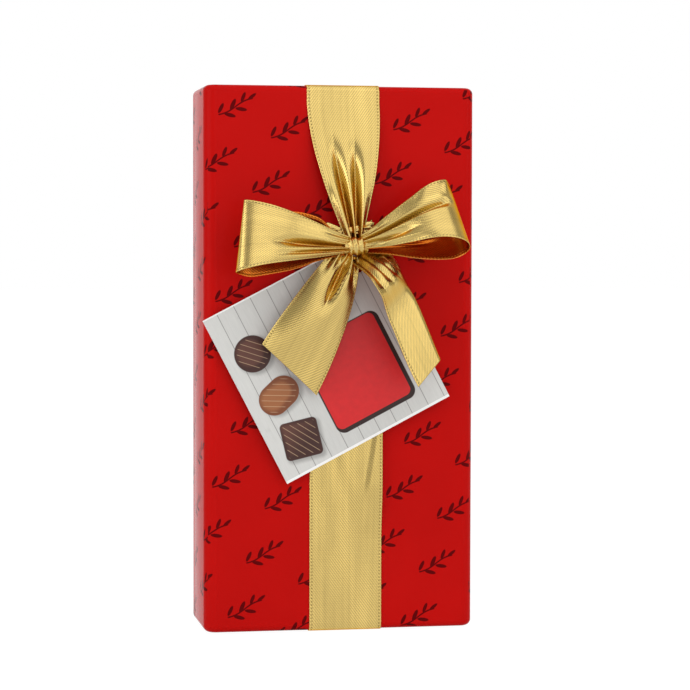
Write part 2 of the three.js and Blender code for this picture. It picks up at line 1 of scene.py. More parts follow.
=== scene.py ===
import math

import bmesh
import bpy
from bmesh.types import BMEdge, BMFace, BMVert
from bpy.props import FloatProperty, FloatVectorProperty, IntProperty, PointerProperty
from mathutils import Matrix, Vector, noise

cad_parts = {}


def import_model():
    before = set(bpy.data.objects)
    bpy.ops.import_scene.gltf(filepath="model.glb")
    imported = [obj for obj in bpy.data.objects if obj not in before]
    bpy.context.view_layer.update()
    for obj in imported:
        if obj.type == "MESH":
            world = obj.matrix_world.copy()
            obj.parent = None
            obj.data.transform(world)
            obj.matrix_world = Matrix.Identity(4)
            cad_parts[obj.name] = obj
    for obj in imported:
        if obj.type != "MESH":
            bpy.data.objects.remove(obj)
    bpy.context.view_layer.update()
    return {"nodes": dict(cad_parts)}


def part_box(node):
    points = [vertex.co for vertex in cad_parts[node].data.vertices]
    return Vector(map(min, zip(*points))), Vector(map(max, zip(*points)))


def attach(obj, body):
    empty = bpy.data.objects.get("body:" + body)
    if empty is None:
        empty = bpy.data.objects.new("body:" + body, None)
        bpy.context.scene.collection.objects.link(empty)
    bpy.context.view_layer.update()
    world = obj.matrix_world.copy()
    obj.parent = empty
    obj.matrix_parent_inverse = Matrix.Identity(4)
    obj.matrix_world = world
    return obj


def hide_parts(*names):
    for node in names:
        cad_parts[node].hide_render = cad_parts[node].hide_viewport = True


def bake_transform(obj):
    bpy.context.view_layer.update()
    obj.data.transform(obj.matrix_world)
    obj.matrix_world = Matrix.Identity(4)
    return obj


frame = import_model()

bl_info = {
    "name": "Box of Chocolates",
    "version": (1, 0, 0),
    "blender": (4, 5, 0),
    "location": "View3D > Sidebar > Chocolates",
    "description": "Paper, ribbon, bow, tag and pralines over the packed model of a gift box",
    "category": "Add Mesh",
}

MM = 0.001


# Places taken from the frame

def node_box(node):
    low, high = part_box(node)
    return Vector(low), Vector(high)


LID_LOW, LID_HIGH = node_box("lid_wrap")
BASE_LOW, BASE_HIGH = node_box("base_wrap")
KNOT_LOW, KNOT_HIGH = node_box("bow_knot")
KNOT = (KNOT_LOW + KNOT_HIGH) / 2
KNOT_HALF = (KNOT_HIGH - KNOT_LOW) / 2
FRONT = LID_LOW.y
OUT = Vector((0, -1, 0))


# Settings that a user would change

def size(name, millimetres, description):
    return FloatProperty(name=name, description=description, default=millimetres * MM, unit="LENGTH")


def angle(name, degrees, description):
    return FloatProperty(name=name, description=description, default=math.radians(degrees), subtype="ANGLE")


def amount(name, default, description):
    return FloatProperty(name=name, description=description, default=default, min=0, max=1, subtype="FACTOR")


def colour(name, rgb, description):
    return FloatVectorProperty(
        name=name, description=description, default=rgb, size=3, min=0, max=1, subtype="COLOR"
    )


def lamp_light(name, brightness):
    description = f"Brightness of the {name.lower()} lamp's face, where 1 is white"
    return FloatProperty(name=f"{name} light", description=description, default=brightness, min=0)


class PaperSettings(bpy.types.PropertyGroup):
    """Paper that covers the lid and the base"""

    red: colour("Red", (0.485, 0.0055, 0.0045), "Colour of the glossy paper")
    print_red: colour("Print", (0.085, 0.002, 0.003), "Colour of the sprigs printed on it")
    paper: size("Paper", 0.25, "Thickness of the paper")
    lid_edge: size("Lid edge", 4.4, "Radius of the upright edges of the lid's face")
    lid_corner: size("Lid corner", 2.2, "Radius of the edges round the lid's ends")
    camber: size("Camber", 0.7, "How far the paper stands off the lid's long sides")
    board_wall: size("Board wall", 1.5, "Thickness of the lid's board")
    base_edge: size("Base edge", 1.5, "Radius of the upright edges of the base's back")
    base_corner: size("Base corner", 1.2, "Radius of the edges round the base's ends")
    lid_wall: size("Lid wall", 2.2, "Board and both papers of the lid's wall")
    base_wall: size("Base wall", 1.9, "Board and both papers of the base's wall")
    lid_turn_in: size("Lid turn-in", 12, "Paper folded in over the lid's rim")
    base_turn_in: size("Base turn-in", 6, "Paper folded in over the base's rim")
    print_pitch: size("Print pitch", 27, "Distance between two sprigs in a row")
    print_rows: size("Print rows", 14.5, "Distance between two rows of sprigs")
    print_angle: angle("Print angle", 24, "Slope of the rows of sprigs")
    board: colour("Board", (0.485, 0.445, 0.381), "Colour of the raw greyboard")
    cushion: colour("Cushion", (0.83, 0.79, 0.71), "Colour of the cushion paper in the lid")


class RibbonSettings(bpy.types.PropertyGroup):
    """Ribbon of the band and the bow"""

    gold: colour("Gold", (0.69, 0.502, 0.167), "Colour of the metallic yarn")
    # The reverse's dark orange is painted shade, for the insides of the loops and the undersides of the tails
    reverse: colour("Reverse", (0.64, 0.172, 0.02), "Colour of the ribbon's duller reverse")
    width: size("Width", 25.4, "Width of the ribbon laid flat")
    cloth: size("Cloth", 0.22, "Thickness of the woven ribbon")
    neck: size("Neck", 5.6, "Width where the ribbon is gathered at a knot")
    stand_off: size("Stand-off", 0.32, "From the paper to the middle of the ribbon lying on it")
    tuck: size("Tuck", 9, "Ribbon turned in behind the lid's rim")
    tuck_bend: size("Tuck bend", 0.5, "Radius of the ribbon's bends at the rim")
    upper_shift: size("Upper shift", 0.7, "Upper run, to the right of the lid's middle")
    lower_shift: size("Lower shift", 1.8, "Lower run, to the right of the lid's middle")
    upper_flat: size("Upper flat", 3.5, "Upper run at its full width below the lid's edge")
    lower_gather: size("Lower gather", 62, "Length over which the lower run narrows")
    seat_gap: size("Seat gap", 0.3, "Space between a knot and a tail that leaves it")
    tail_neck: size("Tail neck", 7.5, "Width of a tail where it leaves the knot")
    tail_raise: size("Tail raise", 2.4, "How far a tail's root goes up into the knot")
    bury: size("Bury", 1.2, "How far the loops and the upper run go into the knot")
    rib: size("Rib", 0.62, "Pitch of the woven ribs")
    stitch_inset: size("Stitch inset", 0.7, "From the edge to the row of stitches")
    stitch_pitch: size("Stitch pitch", 1.15, "From one stitch to the next")
    tape: colour("Tape", (0.82, 0.78, 0.66), "Colour of the tape inside the rim")


def loop_fields(length, rise, flare, lean, swell, slant, peek, sag, tight):
    """Settings of one loop of the bow."""
    return {
        "length": size("Length", length, "From the knot to the turn of the loop"),
        "rise": angle("Rise", rise, "Slope of the loop upwards"),
        "flare": angle("Flare", flare, "Slope of the loop away from the lid"),
        "lean": angle("Lean", lean, "How far the loop's upper edge leans back"),
        "swell": size("Swell", swell, "Half the space between the loop's layers"),
        "slant": size("Slant", slant, "How much longer the loop is at its lower edge"),
        "peek": size("Peek", peek, "How far the back layer stands over the front one"),
        "sag": size("Sag", sag, "How far the back layer hangs below the front one"),
        "tight": amount("Tight", tight, "How sharply the loop turns at its end"),
    }


class LeftLoop(bpy.types.PropertyGroup):
    """Loop on the left of the knot"""

    __annotations__ = loop_fields(
        length=37.8, rise=5, flare=11, lean=16, swell=5.5, slant=1.5, peek=3.8, sag=1.6, tight=0.7
    )


class RightLoop(bpy.types.PropertyGroup):
    """Loop on the right of the knot"""

    __annotations__ = loop_fields(
        length=33.2, rise=17, flare=9, lean=34, swell=7.2, slant=0, peek=0, sag=0.8, tight=0.25
    )


def tail_fields(spread, root, root_out, reach, drop, out, arch, curl, turn, cut, hump, bent, fold):
    """Settings of one tail of the bow."""
    return {
        "spread": amount("Spread", spread, "How late the tail widens from its root"),
        "root": size("Root", root, "From the knot's middle to the tail's root"),
        "root_out": size("Root out", root_out, "From the knot's middle forwards to the tail's root"),
        "reach": size("Reach", reach, "From the root sideways to the end"),
        "drop": size("Drop", drop, "From the root down to the end"),
        "out": size("Out", out, "From the lid to the end"),
        "arch": angle("Arch", arch, "How far the middle of the tail arches"),
        "curl": angle("Curl", curl, "How far the end of the tail curls"),
        "turn": angle("Turn", turn, "How far the end of the tail turns aside"),
        "cut": size("Cut", cut, "Slant of the cut end"),
        "hump": size("Hump", hump, "How far the tail bulges below the knot"),
        "bent": amount("Bent", bent, "Share of the width that takes the bend"),
        "fold": amount("Fold", fold, "From the middle to the bend, as a share of half the width"),
    }


class LeftTail(bpy.types.PropertyGroup):
    """Tail that hangs to the left"""

    __annotations__ = tail_fields(
        spread=0.8, root=-2.9, root_out=0, reach=-19.35, drop=37.9, out=8.5, arch=60, curl=8, turn=0, cut=6,
        hump=0, bent=1, fold=0,
    )


class RightTail(bpy.types.PropertyGroup):
    """Tail that hangs to the right"""

    __annotations__ = tail_fields(
        spread=0.36, root=2.6, root_out=-1.4, reach=27, drop=34.4, out=13, arch=30, curl=116, turn=80,
        cut=-2.5, hump=4.5, bent=0.2, fold=0.3,
    )


class TagSettings(bpy.types.PropertyGroup):
    """Folded tag on its thread"""

    card: colour("Card", (0.86, 0.86, 0.84), "Colour of the bare card")
    plank: colour("Planks", (0.60, 0.60, 0.575), "Colour of the printed planks")
    panel: colour("Panel", (0.62, 0.012, 0.014), "Colour of the bare printed panel")
    border: colour("Border", (0.022, 0.008, 0.006), "Colour of the panel's border")
    thread: colour("Thread", (0.565, 0.381, 0.0886), "Colour of the thread")
    turned: angle("Turned", 27.5, "Slope of the tag's fold")
    hole_inset: size("Hole inset", 8, "From the hole's middle to the tag's edges")
    length: size("Length", 64.5, "Length of the tag along its fold")
    width: size("Width", 63, "From the fold to the lower edge")
    plank_width: size("Plank width", 6.4, "Width of one printed plank")
    thread_width: size("Thread width", 1, "Diameter of the thread")


class ChocolateSettings(bpy.types.PropertyGroup):
    """Pralines and their tray"""

    dark: colour("Dark", (0.0242, 0.007, 0.0052), "Colour of dark chocolate")
    milk: colour("Milk", (0.105, 0.0284, 0.0103), "Colour of milk chocolate")
    white: colour("White", (0.79, 0.64, 0.40), "Colour of white chocolate")
    tray: colour("Tray", (0.60, 0.36, 0.08), "Colour of the gold film")
    film: size("Film", 0.3, "Thickness of the formed film")
    columns: IntProperty(name="Columns", description="Pockets across the tray", default=2, min=1)
    rows: IntProperty(name="Rows", description="Pockets down the tray", default=4, min=1)
    pocket: size("Pocket", 36.4, "Width of a pocket at its mouth")
    pocket_depth: size("Pocket depth", 15.6, "Depth of a pocket")
    pocket_corner: size("Pocket corner", 8.5, "Radius of a pocket's corners")


class StageSettings(bpy.types.PropertyGroup):
    """Camera, lamps and floor"""

    camera_place: FloatVectorProperty(
        name="Camera", description="Where the camera stands", size=3, subtype="TRANSLATION", unit="LENGTH",
        default=(-0.14687, -0.81644, 0.1352),
    )
    camera_turn: FloatVectorProperty(
        name="Camera angles", description="How the camera is turned", size=3, subtype="EULER", unit="ROTATION",
        default=(math.radians(87.5247), math.radians(-0.1117), math.radians(-10.5044)),
    )
    lens: FloatProperty(
        name="Lens", description="Focal length on a 36 mm sensor", default=122.44, unit="CAMERA"
    )
    front_light: lamp_light("Front", 0.95)
    top_light: lamp_light("Top", 1.0)
    left_light: lamp_light("Left", 2.2)
    right_light: lamp_light("Right", 1.3)
    surround: amount("Surround", 0.42, "Light from all sides on matt surfaces")
    back_light: amount("Back light", 1.0, "Brightness of the room behind the object in glossy surfaces")
    dark_side: amount("Dark side", 0.45, "Brightness of the room beside the lamps in glossy surfaces")
    floor: colour("Floor", (0.9, 0.9, 0.9), "Colour of the floor")
    floor_glow: amount("Floor glow", 0.88, "How much of the floor's white is its own")


# Arithmetic on shader sockets

def operator_pair(operation):
    """An operator that adds a Math node, and its reflected form."""
    return (
        lambda wire, other: wire.math(operation, wire, other),
        lambda wire, other: wire.math(operation, other, wire),
    )


class Wire:
    """An output socket. Arithmetic on wires and numbers adds Math nodes to its tree."""

    __add__, __radd__ = operator_pair("ADD")
    __sub__, __rsub__ = operator_pair("SUBTRACT")
    __mul__, __rmul__ = operator_pair("MULTIPLY")
    __truediv__, __rtruediv__ = operator_pair("DIVIDE")
    __mod__, __rmod__ = operator_pair("FLOORED_MODULO")
    __pow__, __rpow__ = operator_pair("POWER")
    __lt__, __gt__ = operator_pair("LESS_THAN")

    def __init__(self, sheet, socket):
        self.sheet = sheet
        self.socket = socket

    def other(self, name):
        """Another output of the same node."""
        return Wire(self.sheet, self.socket.node.outputs[name])

    def math(self, operation, *operands):
        return self.sheet.node("ShaderNodeMath", {"operation": operation}, dict(enumerate(operands)))

    def __abs__(self):
        return self.math("ABSOLUTE", self)

    def floor(self):
        return self.math("FLOOR", self)

    def sin(self):
        return self.math("SINE", self)

    def lowest(self, other):
        return self.math("MINIMUM", self, other)

    def highest(self, other):
        return self.math("MAXIMUM", self, other)

    def ramp(self, start, end):
        """0 at start, 1 at end, smooth between."""
        settings = {"interpolation_type": "SMOOTHSTEP"}
        return self.sheet.node("ShaderNodeMapRange", settings, {"Value": self, 1: start, 2: end})


class NodeSheet:
    """A node tree that expressions are written on."""

    def __init__(self, tree):
        self.tree = tree

    def node(self, kind, settings=None, sockets=None, output=0):
        """Add a node, apply its settings, then the values or wires of its sockets."""
        made = self.tree.nodes.new(kind)
        for name, value in (settings or {}).items():
            setattr(made, name, value)
        for key, value in (sockets or {}).items():
            self.plug(made.inputs[key], value)
        return Wire(self, made.outputs[output])

    def plug(self, socket, value):
        if isinstance(value, Wire):
            self.tree.links.new(value.socket, socket)
        else:
            socket.default_value = value

    def mix(self, factor, first, second, blend="MIX"):
        """Blend two colours."""
        first, second = (c if isinstance(c, Wire) else (*c, 1) for c in (first, second))
        sockets = {0: factor, 6: first, 7: second}
        return self.node("ShaderNodeMix", {"data_type": "RGBA", "blend_type": blend}, sockets, 2)

    def shade(self, tint, factor):
        """A colour made darker or lighter by a factor."""
        grey = self.node("ShaderNodeCombineColor", None, dict.fromkeys(range(3), factor))
        return self.mix(1, tint, grey, "MULTIPLY")

    def speckle(self, place, scale, detail=2.0, roughness=0.5):
        sockets = {"Vector": place, "Scale": scale, "Detail": detail, "Roughness": roughness}
        return self.node("ShaderNodeTexNoise", {"noise_dimensions": "3D"}, sockets)

    def vector(self, x, y, z=0.0):
        return self.node("ShaderNodeCombineXYZ", None, {0: x, 1: y, 2: z})

    def parts(self, vector):
        x = self.node("ShaderNodeSeparateXYZ", None, {0: vector}, "X")
        return x, x.other("Y"), x.other("Z")


class Finish(NodeSheet):
    """A material round one Principled shader."""

    def __init__(self, name, constants):
        self.material = bpy.data.materials.new(name)
        self.material.use_nodes = True
        super().__init__(self.material.node_tree)
        self.shader = self.tree.nodes["Principled BSDF"]
        for socket, value in constants.items():
            self.feed(socket, value)

    def feed(self, socket, value):
        self.plug(self.shader.inputs[socket], value)

    def emboss(self, height, depth, strength):
        """Bump of the given depth in metres."""
        sockets = {"Height": height, "Distance": depth, "Strength": strength}
        self.feed("Normal", self.node("ShaderNodeBump", None, sockets))

    def place(self):
        """Object coordinates in millimetres."""
        object_place = self.node("ShaderNodeTexCoord", None, None, "Object")
        sockets = {0: object_place, 1: (1 / MM, 1 / MM, 1 / MM)}
        return self.node("ShaderNodeVectorMath", {"operation": "MULTIPLY"}, sockets)

    def flat_place(self, layer):
        """Place across and along a piece laid flat, in millimetres."""
        return self.parts(self.node("ShaderNodeUVMap", {"uv_map": layer}))[:2]


def shared_look(name, make, *arguments):
    """The material of this name, made at its first use."""
    return bpy.data.materials.get(name) or make(name, *arguments).material


# Paper and board. Speckle scales are per millimetre.

def turned(across, along, degrees):
    """Two wires turned by an angle."""
    c, s = math.cos(math.radians(degrees)), math.sin(math.radians(degrees))
    return across * c + along * s, along * c - across * s


def leaf_shape(across, along, middle, degrees, half_size):
    """1 inside an ellipse, 0 outside it."""
    a, b = turned(across - middle[0], along - middle[1], degrees)
    far = (a / half_size[0]) ** 2 + (b / half_size[1]) ** 2
    return far.ramp(1.2, 0.8)


# Half the length of a sprig's stem, then each leaf's middle, slope and half size, in millimetres and degrees
SPRIG_STEM = 6.6
SPRIG_LEAVES = (
    ((-4.9, 1.5), 40, (1.9, 0.62)),
    ((-3.0, -1.9), -38, (2.0, 0.66)),
    ((-0.6, 1.0), 42, (2.1, 0.7)),
    ((1.4, -1.6), -32, (2.0, 0.64)),
    ((3.7, 1.9), 44, (1.8, 0.6)),
    ((6.6, 0.9), 14, (1.7, 0.55)),
)


def sprig_print(across, along, paper):
    """Rows of small leafy sprigs, every other row set over by half a pitch."""
    pitch = paper.print_pitch / MM
    rows = paper.print_rows / MM
    p, q = turned(across, along, math.degrees(paper.print_angle))
    row = (q / rows).floor()
    a = (p + (row % 2) * (pitch / 2)) % pitch - pitch / 2
    b = q % rows - rows / 2
    bow = (a * 0.42).sin() * 0.55
    shape = abs(b - bow).ramp(0.34, 0.16) * abs(a).ramp(SPRIG_STEM + 0.2, SPRIG_STEM - 0.2)
    for middle, degrees, half_size in SPRIG_LEAVES:
        shape = shape.highest(leaf_shape(a, b, middle, degrees, half_size))
    return shape


def red_paper(name, paper, printed):
    """Glossy coated paper, slightly uneven in colour and flatness, with sprigs where it is printed."""
    look = Finish(name, {"Specular IOR Level": 0.02})
    place = look.place()
    cloud = look.speckle(place, 0.035)
    fibre = look.speckle(place, 3.2, 3)
    waves = look.speckle(place, 0.09, 1)
    tone = look.shade(paper.red, 0.9 + cloud * 0.2)
    if printed:
        sprig = sprig_print(*look.flat_place("Print"), paper)
        tone = look.mix(sprig * 0.94, tone, paper.print_red)
        look.feed("Roughness", 0.16 + fibre * 0.08 + sprig * 0.1)
    else:
        look.feed("Roughness", 0.18 + fibre * 0.08)
    look.feed("Base Color", tone)
    look.emboss(fibre + waves * 3.0, 0.03 * MM, 0.35)
    return look


BOARD_FLECK = (0.19, 0.15, 0.11)


def grey_board(name, paper):
    """Raw greyboard with pressed fibres and dark flecks."""
    look = Finish(name, {"Specular IOR Level": 0.25})
    place = look.place()
    x, y, z = look.parts(place)
    fibre = look.speckle(look.vector(x * 0.4, y * 2.4, z * 1.1), 1.6, 4, 0.6)
    fleck = look.speckle(place, 2.4, 1).ramp(0.68, 0.74)
    tone = look.shade(paper.board, 0.82 + fibre * 0.36)
    look.feed("Base Color", look.mix(fleck * 0.5, tone, BOARD_FLECK))
    look.feed("Roughness", 0.78 + fibre * 0.14)
    look.emboss(fibre, 0.08 * MM, 0.6)
    return look


def cushion_paper(name, paper):
    """Soft crinkled paper."""
    look = Finish(name, {"Specular IOR Level": 0.3, "Sheen Weight": 0.12})
    x, y, z = look.parts(look.place())
    crepe = look.speckle(look.vector(x * 0.6, y, z * 2.2), 2.1, 3)
    look.feed("Base Color", look.shade(paper.cushion, 0.92 + crepe * 0.14))
    look.feed("Roughness", 0.55 + crepe * 0.2)
    look.emboss(crepe, 0.06 * MM, 0.5)
    return look


# Ribbon, thread and tape

# Added to a sheet's place across on its back faces
REVERSE_SHIFT = 100
# Orange tint of the gold's reflections at grazing angles: painted light, for the warm light that bounces
# between the ribbon's folds
FOLD_BOUNCE_TINT = (1.0, 0.45, 0.09, 1.0)


def gold_ribbon(name, ribbon):
    """Woven metallic ribbon: a fine twill, ribs across, a row of stitches inside each edge, and painted shade
    on its back faces.
    """
    # The Specular Tint paints the orange of light bounced between folds into the gold's reflections
    look = Finish(name, {"Metallic": 1.0, "Specular Tint": FOLD_BOUNCE_TINT})
    shifted, along = look.flat_place("Weave")
    reverse = shifted > REVERSE_SHIFT / 2
    across = shifted - reverse * REVERSE_SHIFT
    rib = ribbon.rib / MM
    pitch = ribbon.stitch_pitch / MM
    edge = (ribbon.width / MM - across).lowest(across)
    ribs = 0.5 + (along * (math.tau / rib)).sin() * 0.5
    twill = 0.5 + (along * (math.tau / (2 * rib)) + across * (math.tau / (1.45 * rib))).sin() * 0.5
    slub = look.speckle(look.vector(across * 0.25, along * 3.0), 0.5)
    yarns = look.speckle(look.vector(across * 2.2, along * 0.05), 0.6)
    mottle = look.speckle(look.vector(across, along * 0.3), 0.11)
    streak = look.speckle(look.vector(across * 0.3, along * 0.015), 0.9, 1)
    weave = ribs * 0.2 + twill * (0.5 + mottle.ramp(0.35, 0.65) * 0.4)
    step = abs(along % pitch - pitch / 2)
    stitch = abs(edge - ribbon.stitch_inset / MM).ramp(0.44, 0.22) * step.ramp(0.42, 0.22)
    selvedge = edge.ramp(0.8, 0.5)
    uneven = (slub - 0.5) * 0.08 + (yarns - 0.5) * 0.22 + (streak - 0.5) * 0.3
    level = 0.66 + weave * 0.42 + uneven + selvedge * 0.12 - stitch * 0.34
    # Back faces take the reverse colour: painted shade in the hollows of the loops and tails
    look.feed("Base Color", look.shade(look.mix(reverse, ribbon.gold, ribbon.reverse), level))
    look.feed("Roughness", 0.235 + (mottle - 0.5) * 0.08 + stitch * 0.2)
    look.emboss(weave + selvedge * 1.2 - stitch * 1.5 + slub * 0.3 + yarns * 0.9, 0.05 * MM, 0.5)
    return look


def gold_thread(name, tag):
    """Metallic thread of two plies."""
    look = Finish(name, {"Metallic": 0.9})
    across, along = look.flat_place("Weave")
    ply = 0.5 + (along * 4.2 + across * math.tau).sin() * 0.5
    look.feed("Base Color", look.shade(tag.thread, 0.7 + ply * 0.4))
    look.feed("Roughness", 0.34 + ply * 0.12)
    look.emboss(ply, 0.08 * MM, 0.6)
    return look


def clear_tape(name, ribbon):
    """Clear tape with faint streaks."""
    look = Finish(name, {"IOR": 1.47, "Specular IOR Level": 0.6})
    x, y, z = look.parts(look.place())
    streak = look.speckle(look.vector(x * 0.15, y * 3.0, z), 0.8)
    look.feed("Base Color", look.shade(ribbon.tape, 0.9 + streak * 0.15))
    look.feed("Roughness", 0.12 + streak * 0.14)
    look.feed("Alpha", 0.34 + streak * 0.12)
    look.emboss(streak, 0.03 * MM, 0.5)
    return look


# Chocolate and film

def chocolate(name, tint, gloss):
    """Moulded chocolate with a faint bloom."""
    look = Finish(name, {"Subsurface Weight": 0.06, "Subsurface Radius": (0.002, 0.0012, 0.0008), "IOR": 1.46})
    place = look.place()
    bloom = look.speckle(place, 0.22, 3)
    grain = look.speckle(place, 2.6, 3)
    look.feed("Base Color", look.shade(tint, 0.84 + bloom * 0.32))
    look.feed("Roughness", gloss + bloom * 0.14 + grain * 0.05)
    look.feed("Coat Weight", 0.08 + bloom * 0.12)
    look.emboss(grain + bloom * 2.0, 0.08 * MM, 0.45)
    return look


def gold_film(name, chocolates):
    """Gold film with a fine pressed grid."""
    look = Finish(name, {"Metallic": 0.92})
    place = look.place()
    x, _, z = look.parts(place)
    cloud = look.speckle(place, 0.07)
    pin = ((x * 4.2).sin() * (z * 4.2).sin()).ramp(-0.2, 0.9)
    look.feed("Base Color", look.shade(chocolates.tray, 0.86 + cloud * 0.24))
    look.feed("Roughness", 0.24 + cloud * 0.12 + pin * 0.05)
    look.emboss(pin + cloud * 3.0, 0.05 * MM, 0.4)
    return look


# Print of the tag. Places are in millimetres from the hole, along the fold and up from it.

GROOVE_INK = (0.16, 0.15, 0.14)
SHADOW_INK = (0.12, 0.11, 0.10)
STRIPE_INK = (0.62, 0.42, 0.25)
# Ink of a chocolate and of the light on it
DARK_INKS = ((0.045, 0.013, 0.009), (0.16, 0.06, 0.04))
PALE_INKS = ((0.19, 0.055, 0.018), (0.44, 0.17, 0.06))
# Middle, half size, corner radius, slope and inks of each printed chocolate
TAG_CHOCOLATES = (
    ((-46.5, -9.5), (6.4, 6.4), 6.4, 0, DARK_INKS),
    ((-45.0, -26.5), (7.6, 5.4), 5.4, 16, PALE_INKS),
    ((-45.0, -43.5), (6.6, 6.6), 1.6, -14, DARK_INKS),
)
PANEL_MIDDLE = (-17.5, -31.5)
PANEL_HALF = (14.5, 16.0)
PANEL_CORNER = 2.2
PANEL_BORDER = 1.0
# A factor that scatters the sines of whole numbers
SCATTER = 12.9898


def rounded_box(a, b, half_size, corner):
    """Distance to the edge of a rectangle with round corners, negative inside."""
    over_a = (abs(a) - (half_size[0] - corner)).highest(0)
    over_b = (abs(b) - (half_size[1] - corner)).highest(0)
    return (over_a ** 2 + over_b ** 2) ** 0.5 - corner


def printed_planks(look, tag, a, b):
    """Ink of painted planks, and 1 in the grooves between them."""
    board = tag.plank_width / MM
    plank = (a / board).floor()
    shift = (plank * SCATTER).sin() * 0.5 + 0.5
    grain = look.speckle(look.vector(a * 2.4 + plank * 7.0, b * 0.16), 0.9, 4, 0.62)
    knots = look.speckle(look.vector(a * 0.7 + plank * 3.0, b * 0.3), 0.5).ramp(0.62, 0.8)
    groove = abs(a % board - board / 2).ramp(board / 2 - 0.2, board / 2 - 0.06)
    ink = look.shade(tag.plank, 0.84 + shift * 0.12 + grain * 0.22 - knots * 0.12)
    return look.mix(groove * 0.72, ink, GROOVE_INK), groove


def printed_chocolate(look, ink, a, b, design):
    """Print a plain striped chocolate and its shadow over the ink."""
    middle, half_size, corner, degrees, inks = design
    u, v = turned(a - middle[0], b - middle[1], degrees)
    far = rounded_box(u, v, half_size, corner)
    shadow = rounded_box(u - 0.7, v + 0.9, half_size, corner).ramp(1.3, -0.6)
    bright = (far + 1.9 + (u - v) * 0.14).ramp(0.9, -1.1) * 0.55
    stripe = abs(((u + v) * 1.15).sin()).ramp(0.25, 0.0) * far.ramp(-0.8, -1.2)
    ink = look.mix(shadow * 0.5, ink, SHADOW_INK)
    coat = look.mix(stripe * 0.75, look.mix(bright, *inks), STRIPE_INK)
    return look.mix(far.ramp(0.12, -0.12), ink, coat)


def printed_panel(look, ink, a, b, tag):
    """Print a bare panel and its border, which stands out to the lower right, over the ink."""
    u, v = a - PANEL_MIDDLE[0], b - PANEL_MIDDLE[1]
    panel = rounded_box(u, v, PANEL_HALF, PANEL_CORNER)
    border = rounded_box(u - 0.5, v + 0.6, PANEL_HALF, PANEL_CORNER) - PANEL_BORDER
    worn = look.speckle(look.vector(a * 0.9, b * 0.9), 0.5, 3)
    ink = look.mix(border.ramp(0.1, -0.1), ink, tag.border)
    return look.mix(panel.ramp(0.1, -0.1), ink, look.shade(tag.panel, 0.88 + worn * 0.24))


def tag_card(name, tag, hole, printed_face):
    """White card. It is printed at the depth printed_face, unless that is None."""
    look = Finish(name, {"Specular IOR Level": 0.35})
    place = look.place()
    fibre = look.speckle(place, 2.8, 3)
    tone = look.shade(tag.card, 0.96 + fibre * 0.06)
    relief = fibre
    if printed_face is None:
        look.feed("Roughness", 0.52 + fibre * 0.14)
    else:
        x, y, z = look.parts(place)
        printed = (y - printed_face / MM) < 0.05
        a, b = turned(x - hole.x / MM, z - hole.z / MM, math.degrees(tag.turned))
        ink, groove = printed_planks(look, tag, a, b)
        for design in TAG_CHOCOLATES:
            ink = printed_chocolate(look, ink, a, b, design)
        ink = printed_panel(look, ink, a, b, tag)
        margin = (b + (tag.width - tag.hole_inset) / MM).ramp(1.0, 0.8)
        tone = look.mix(printed, tone, look.mix(margin, ink, tag.card))
        relief = fibre - groove * printed * 0.8
        look.feed("Roughness", 0.46 + fibre * 0.12 - printed * 0.1)
    look.feed("Base Color", tone)
    look.emboss(relief, 0.04 * MM, 0.4)
    return look


# Mesh helpers

# Points closer than this are one point
MERGE = 1e-6


def lerp(first, second, share):
    return first + (second - first) * share


def ease(start, end, value):
    """0 before start, 1 after end, smooth between."""
    share = min(max((value - start) / (end - start), 0.0), 1.0)
    return share * share * (3 - 2 * share)


def crease(value, middle, half):
    """A sharp valley: 1 at its bottom, 0 from half its width on."""
    return max(1 - abs(value - middle) / half, 0) ** 1.7


def bezier(points, share):
    line = list(points)
    while len(line) > 1:
        line = [first.lerp(second, share) for first, second in zip(line, line[1:])]
    return line[0]


def before(right, out, up):
    """A point in front of the lid's face."""
    return Vector((right, FRONT - out, up))


def piece(name, bm, body, slot, material, *replaced):
    """Turn a bmesh into an object that rides on a body, or stays unparented if body is None."""
    for face in bm.faces:
        face.smooth = True
    mesh = bpy.data.meshes.new(name)
    bm.to_mesh(mesh)
    bm.free()
    mesh.materials.append(material)
    made = bpy.data.objects.new(name, mesh)
    bpy.context.scene.collection.objects.link(made)
    if body:
        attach(made, body)
    if replaced:
        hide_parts(*replaced)
    return made


def dress(node, material):
    """Give a node of the frame a better material."""
    mesh = frame["nodes"][node].data
    mesh.materials.clear()
    mesh.materials.append(material)


def thicken(made, thickness, offset):
    wall = made.modifiers.new("Thickness", "SOLIDIFY")
    wall.thickness = thickness
    wall.offset = offset
    wall.use_even_offset = False


def even_shading(made):
    """Keep flat faces flat beside their rounded edges."""
    made.modifiers.new("Even shading", "WEIGHTED_NORMAL").keep_sharp = True


def walled(made, thickness):
    """Give a shell its wall, on the inside, and even shading."""
    thicken(made, thickness, -1)
    even_shading(made)


def only(kind, geom):
    """The vertices, edges or faces among what an operator made."""
    return [item for item in geom if isinstance(item, kind)]


def open_edges(bm):
    return [edge for edge in bm.edges if edge.is_boundary]


def folded_edges(bm, least):
    """Edges whose two faces meet at more than the angle, in radians."""
    bm.normal_update()
    return [edge for edge in bm.edges if len(edge.link_faces) == 2 and edge.calc_face_angle() > least]


def round_off(bm, edges, radius, segments):
    bmesh.ops.bevel(
        bm, geom=edges, offset=radius, offset_type="OFFSET", segments=segments, profile=0.5, affect="EDGES",
        material=-1, clamp_overlap=True,
    )


def merge(bm, distance=MERGE):
    bmesh.ops.remove_doubles(bm, verts=bm.verts, dist=distance)


def face_outwards(bm, inside_out):
    """Make the faces agree, and turn them all if the test says that they are inside out."""
    bmesh.ops.recalc_face_normals(bm, faces=bm.faces)
    if inside_out(bm):
        bmesh.ops.reverse_faces(bm, faces=bm.faces)


def scale_from(place, factors):
    """A matrix that scales about a place."""
    return Matrix.Translation(place) @ Matrix.Diagonal((*factors, 1)) @ Matrix.Translation(-place)


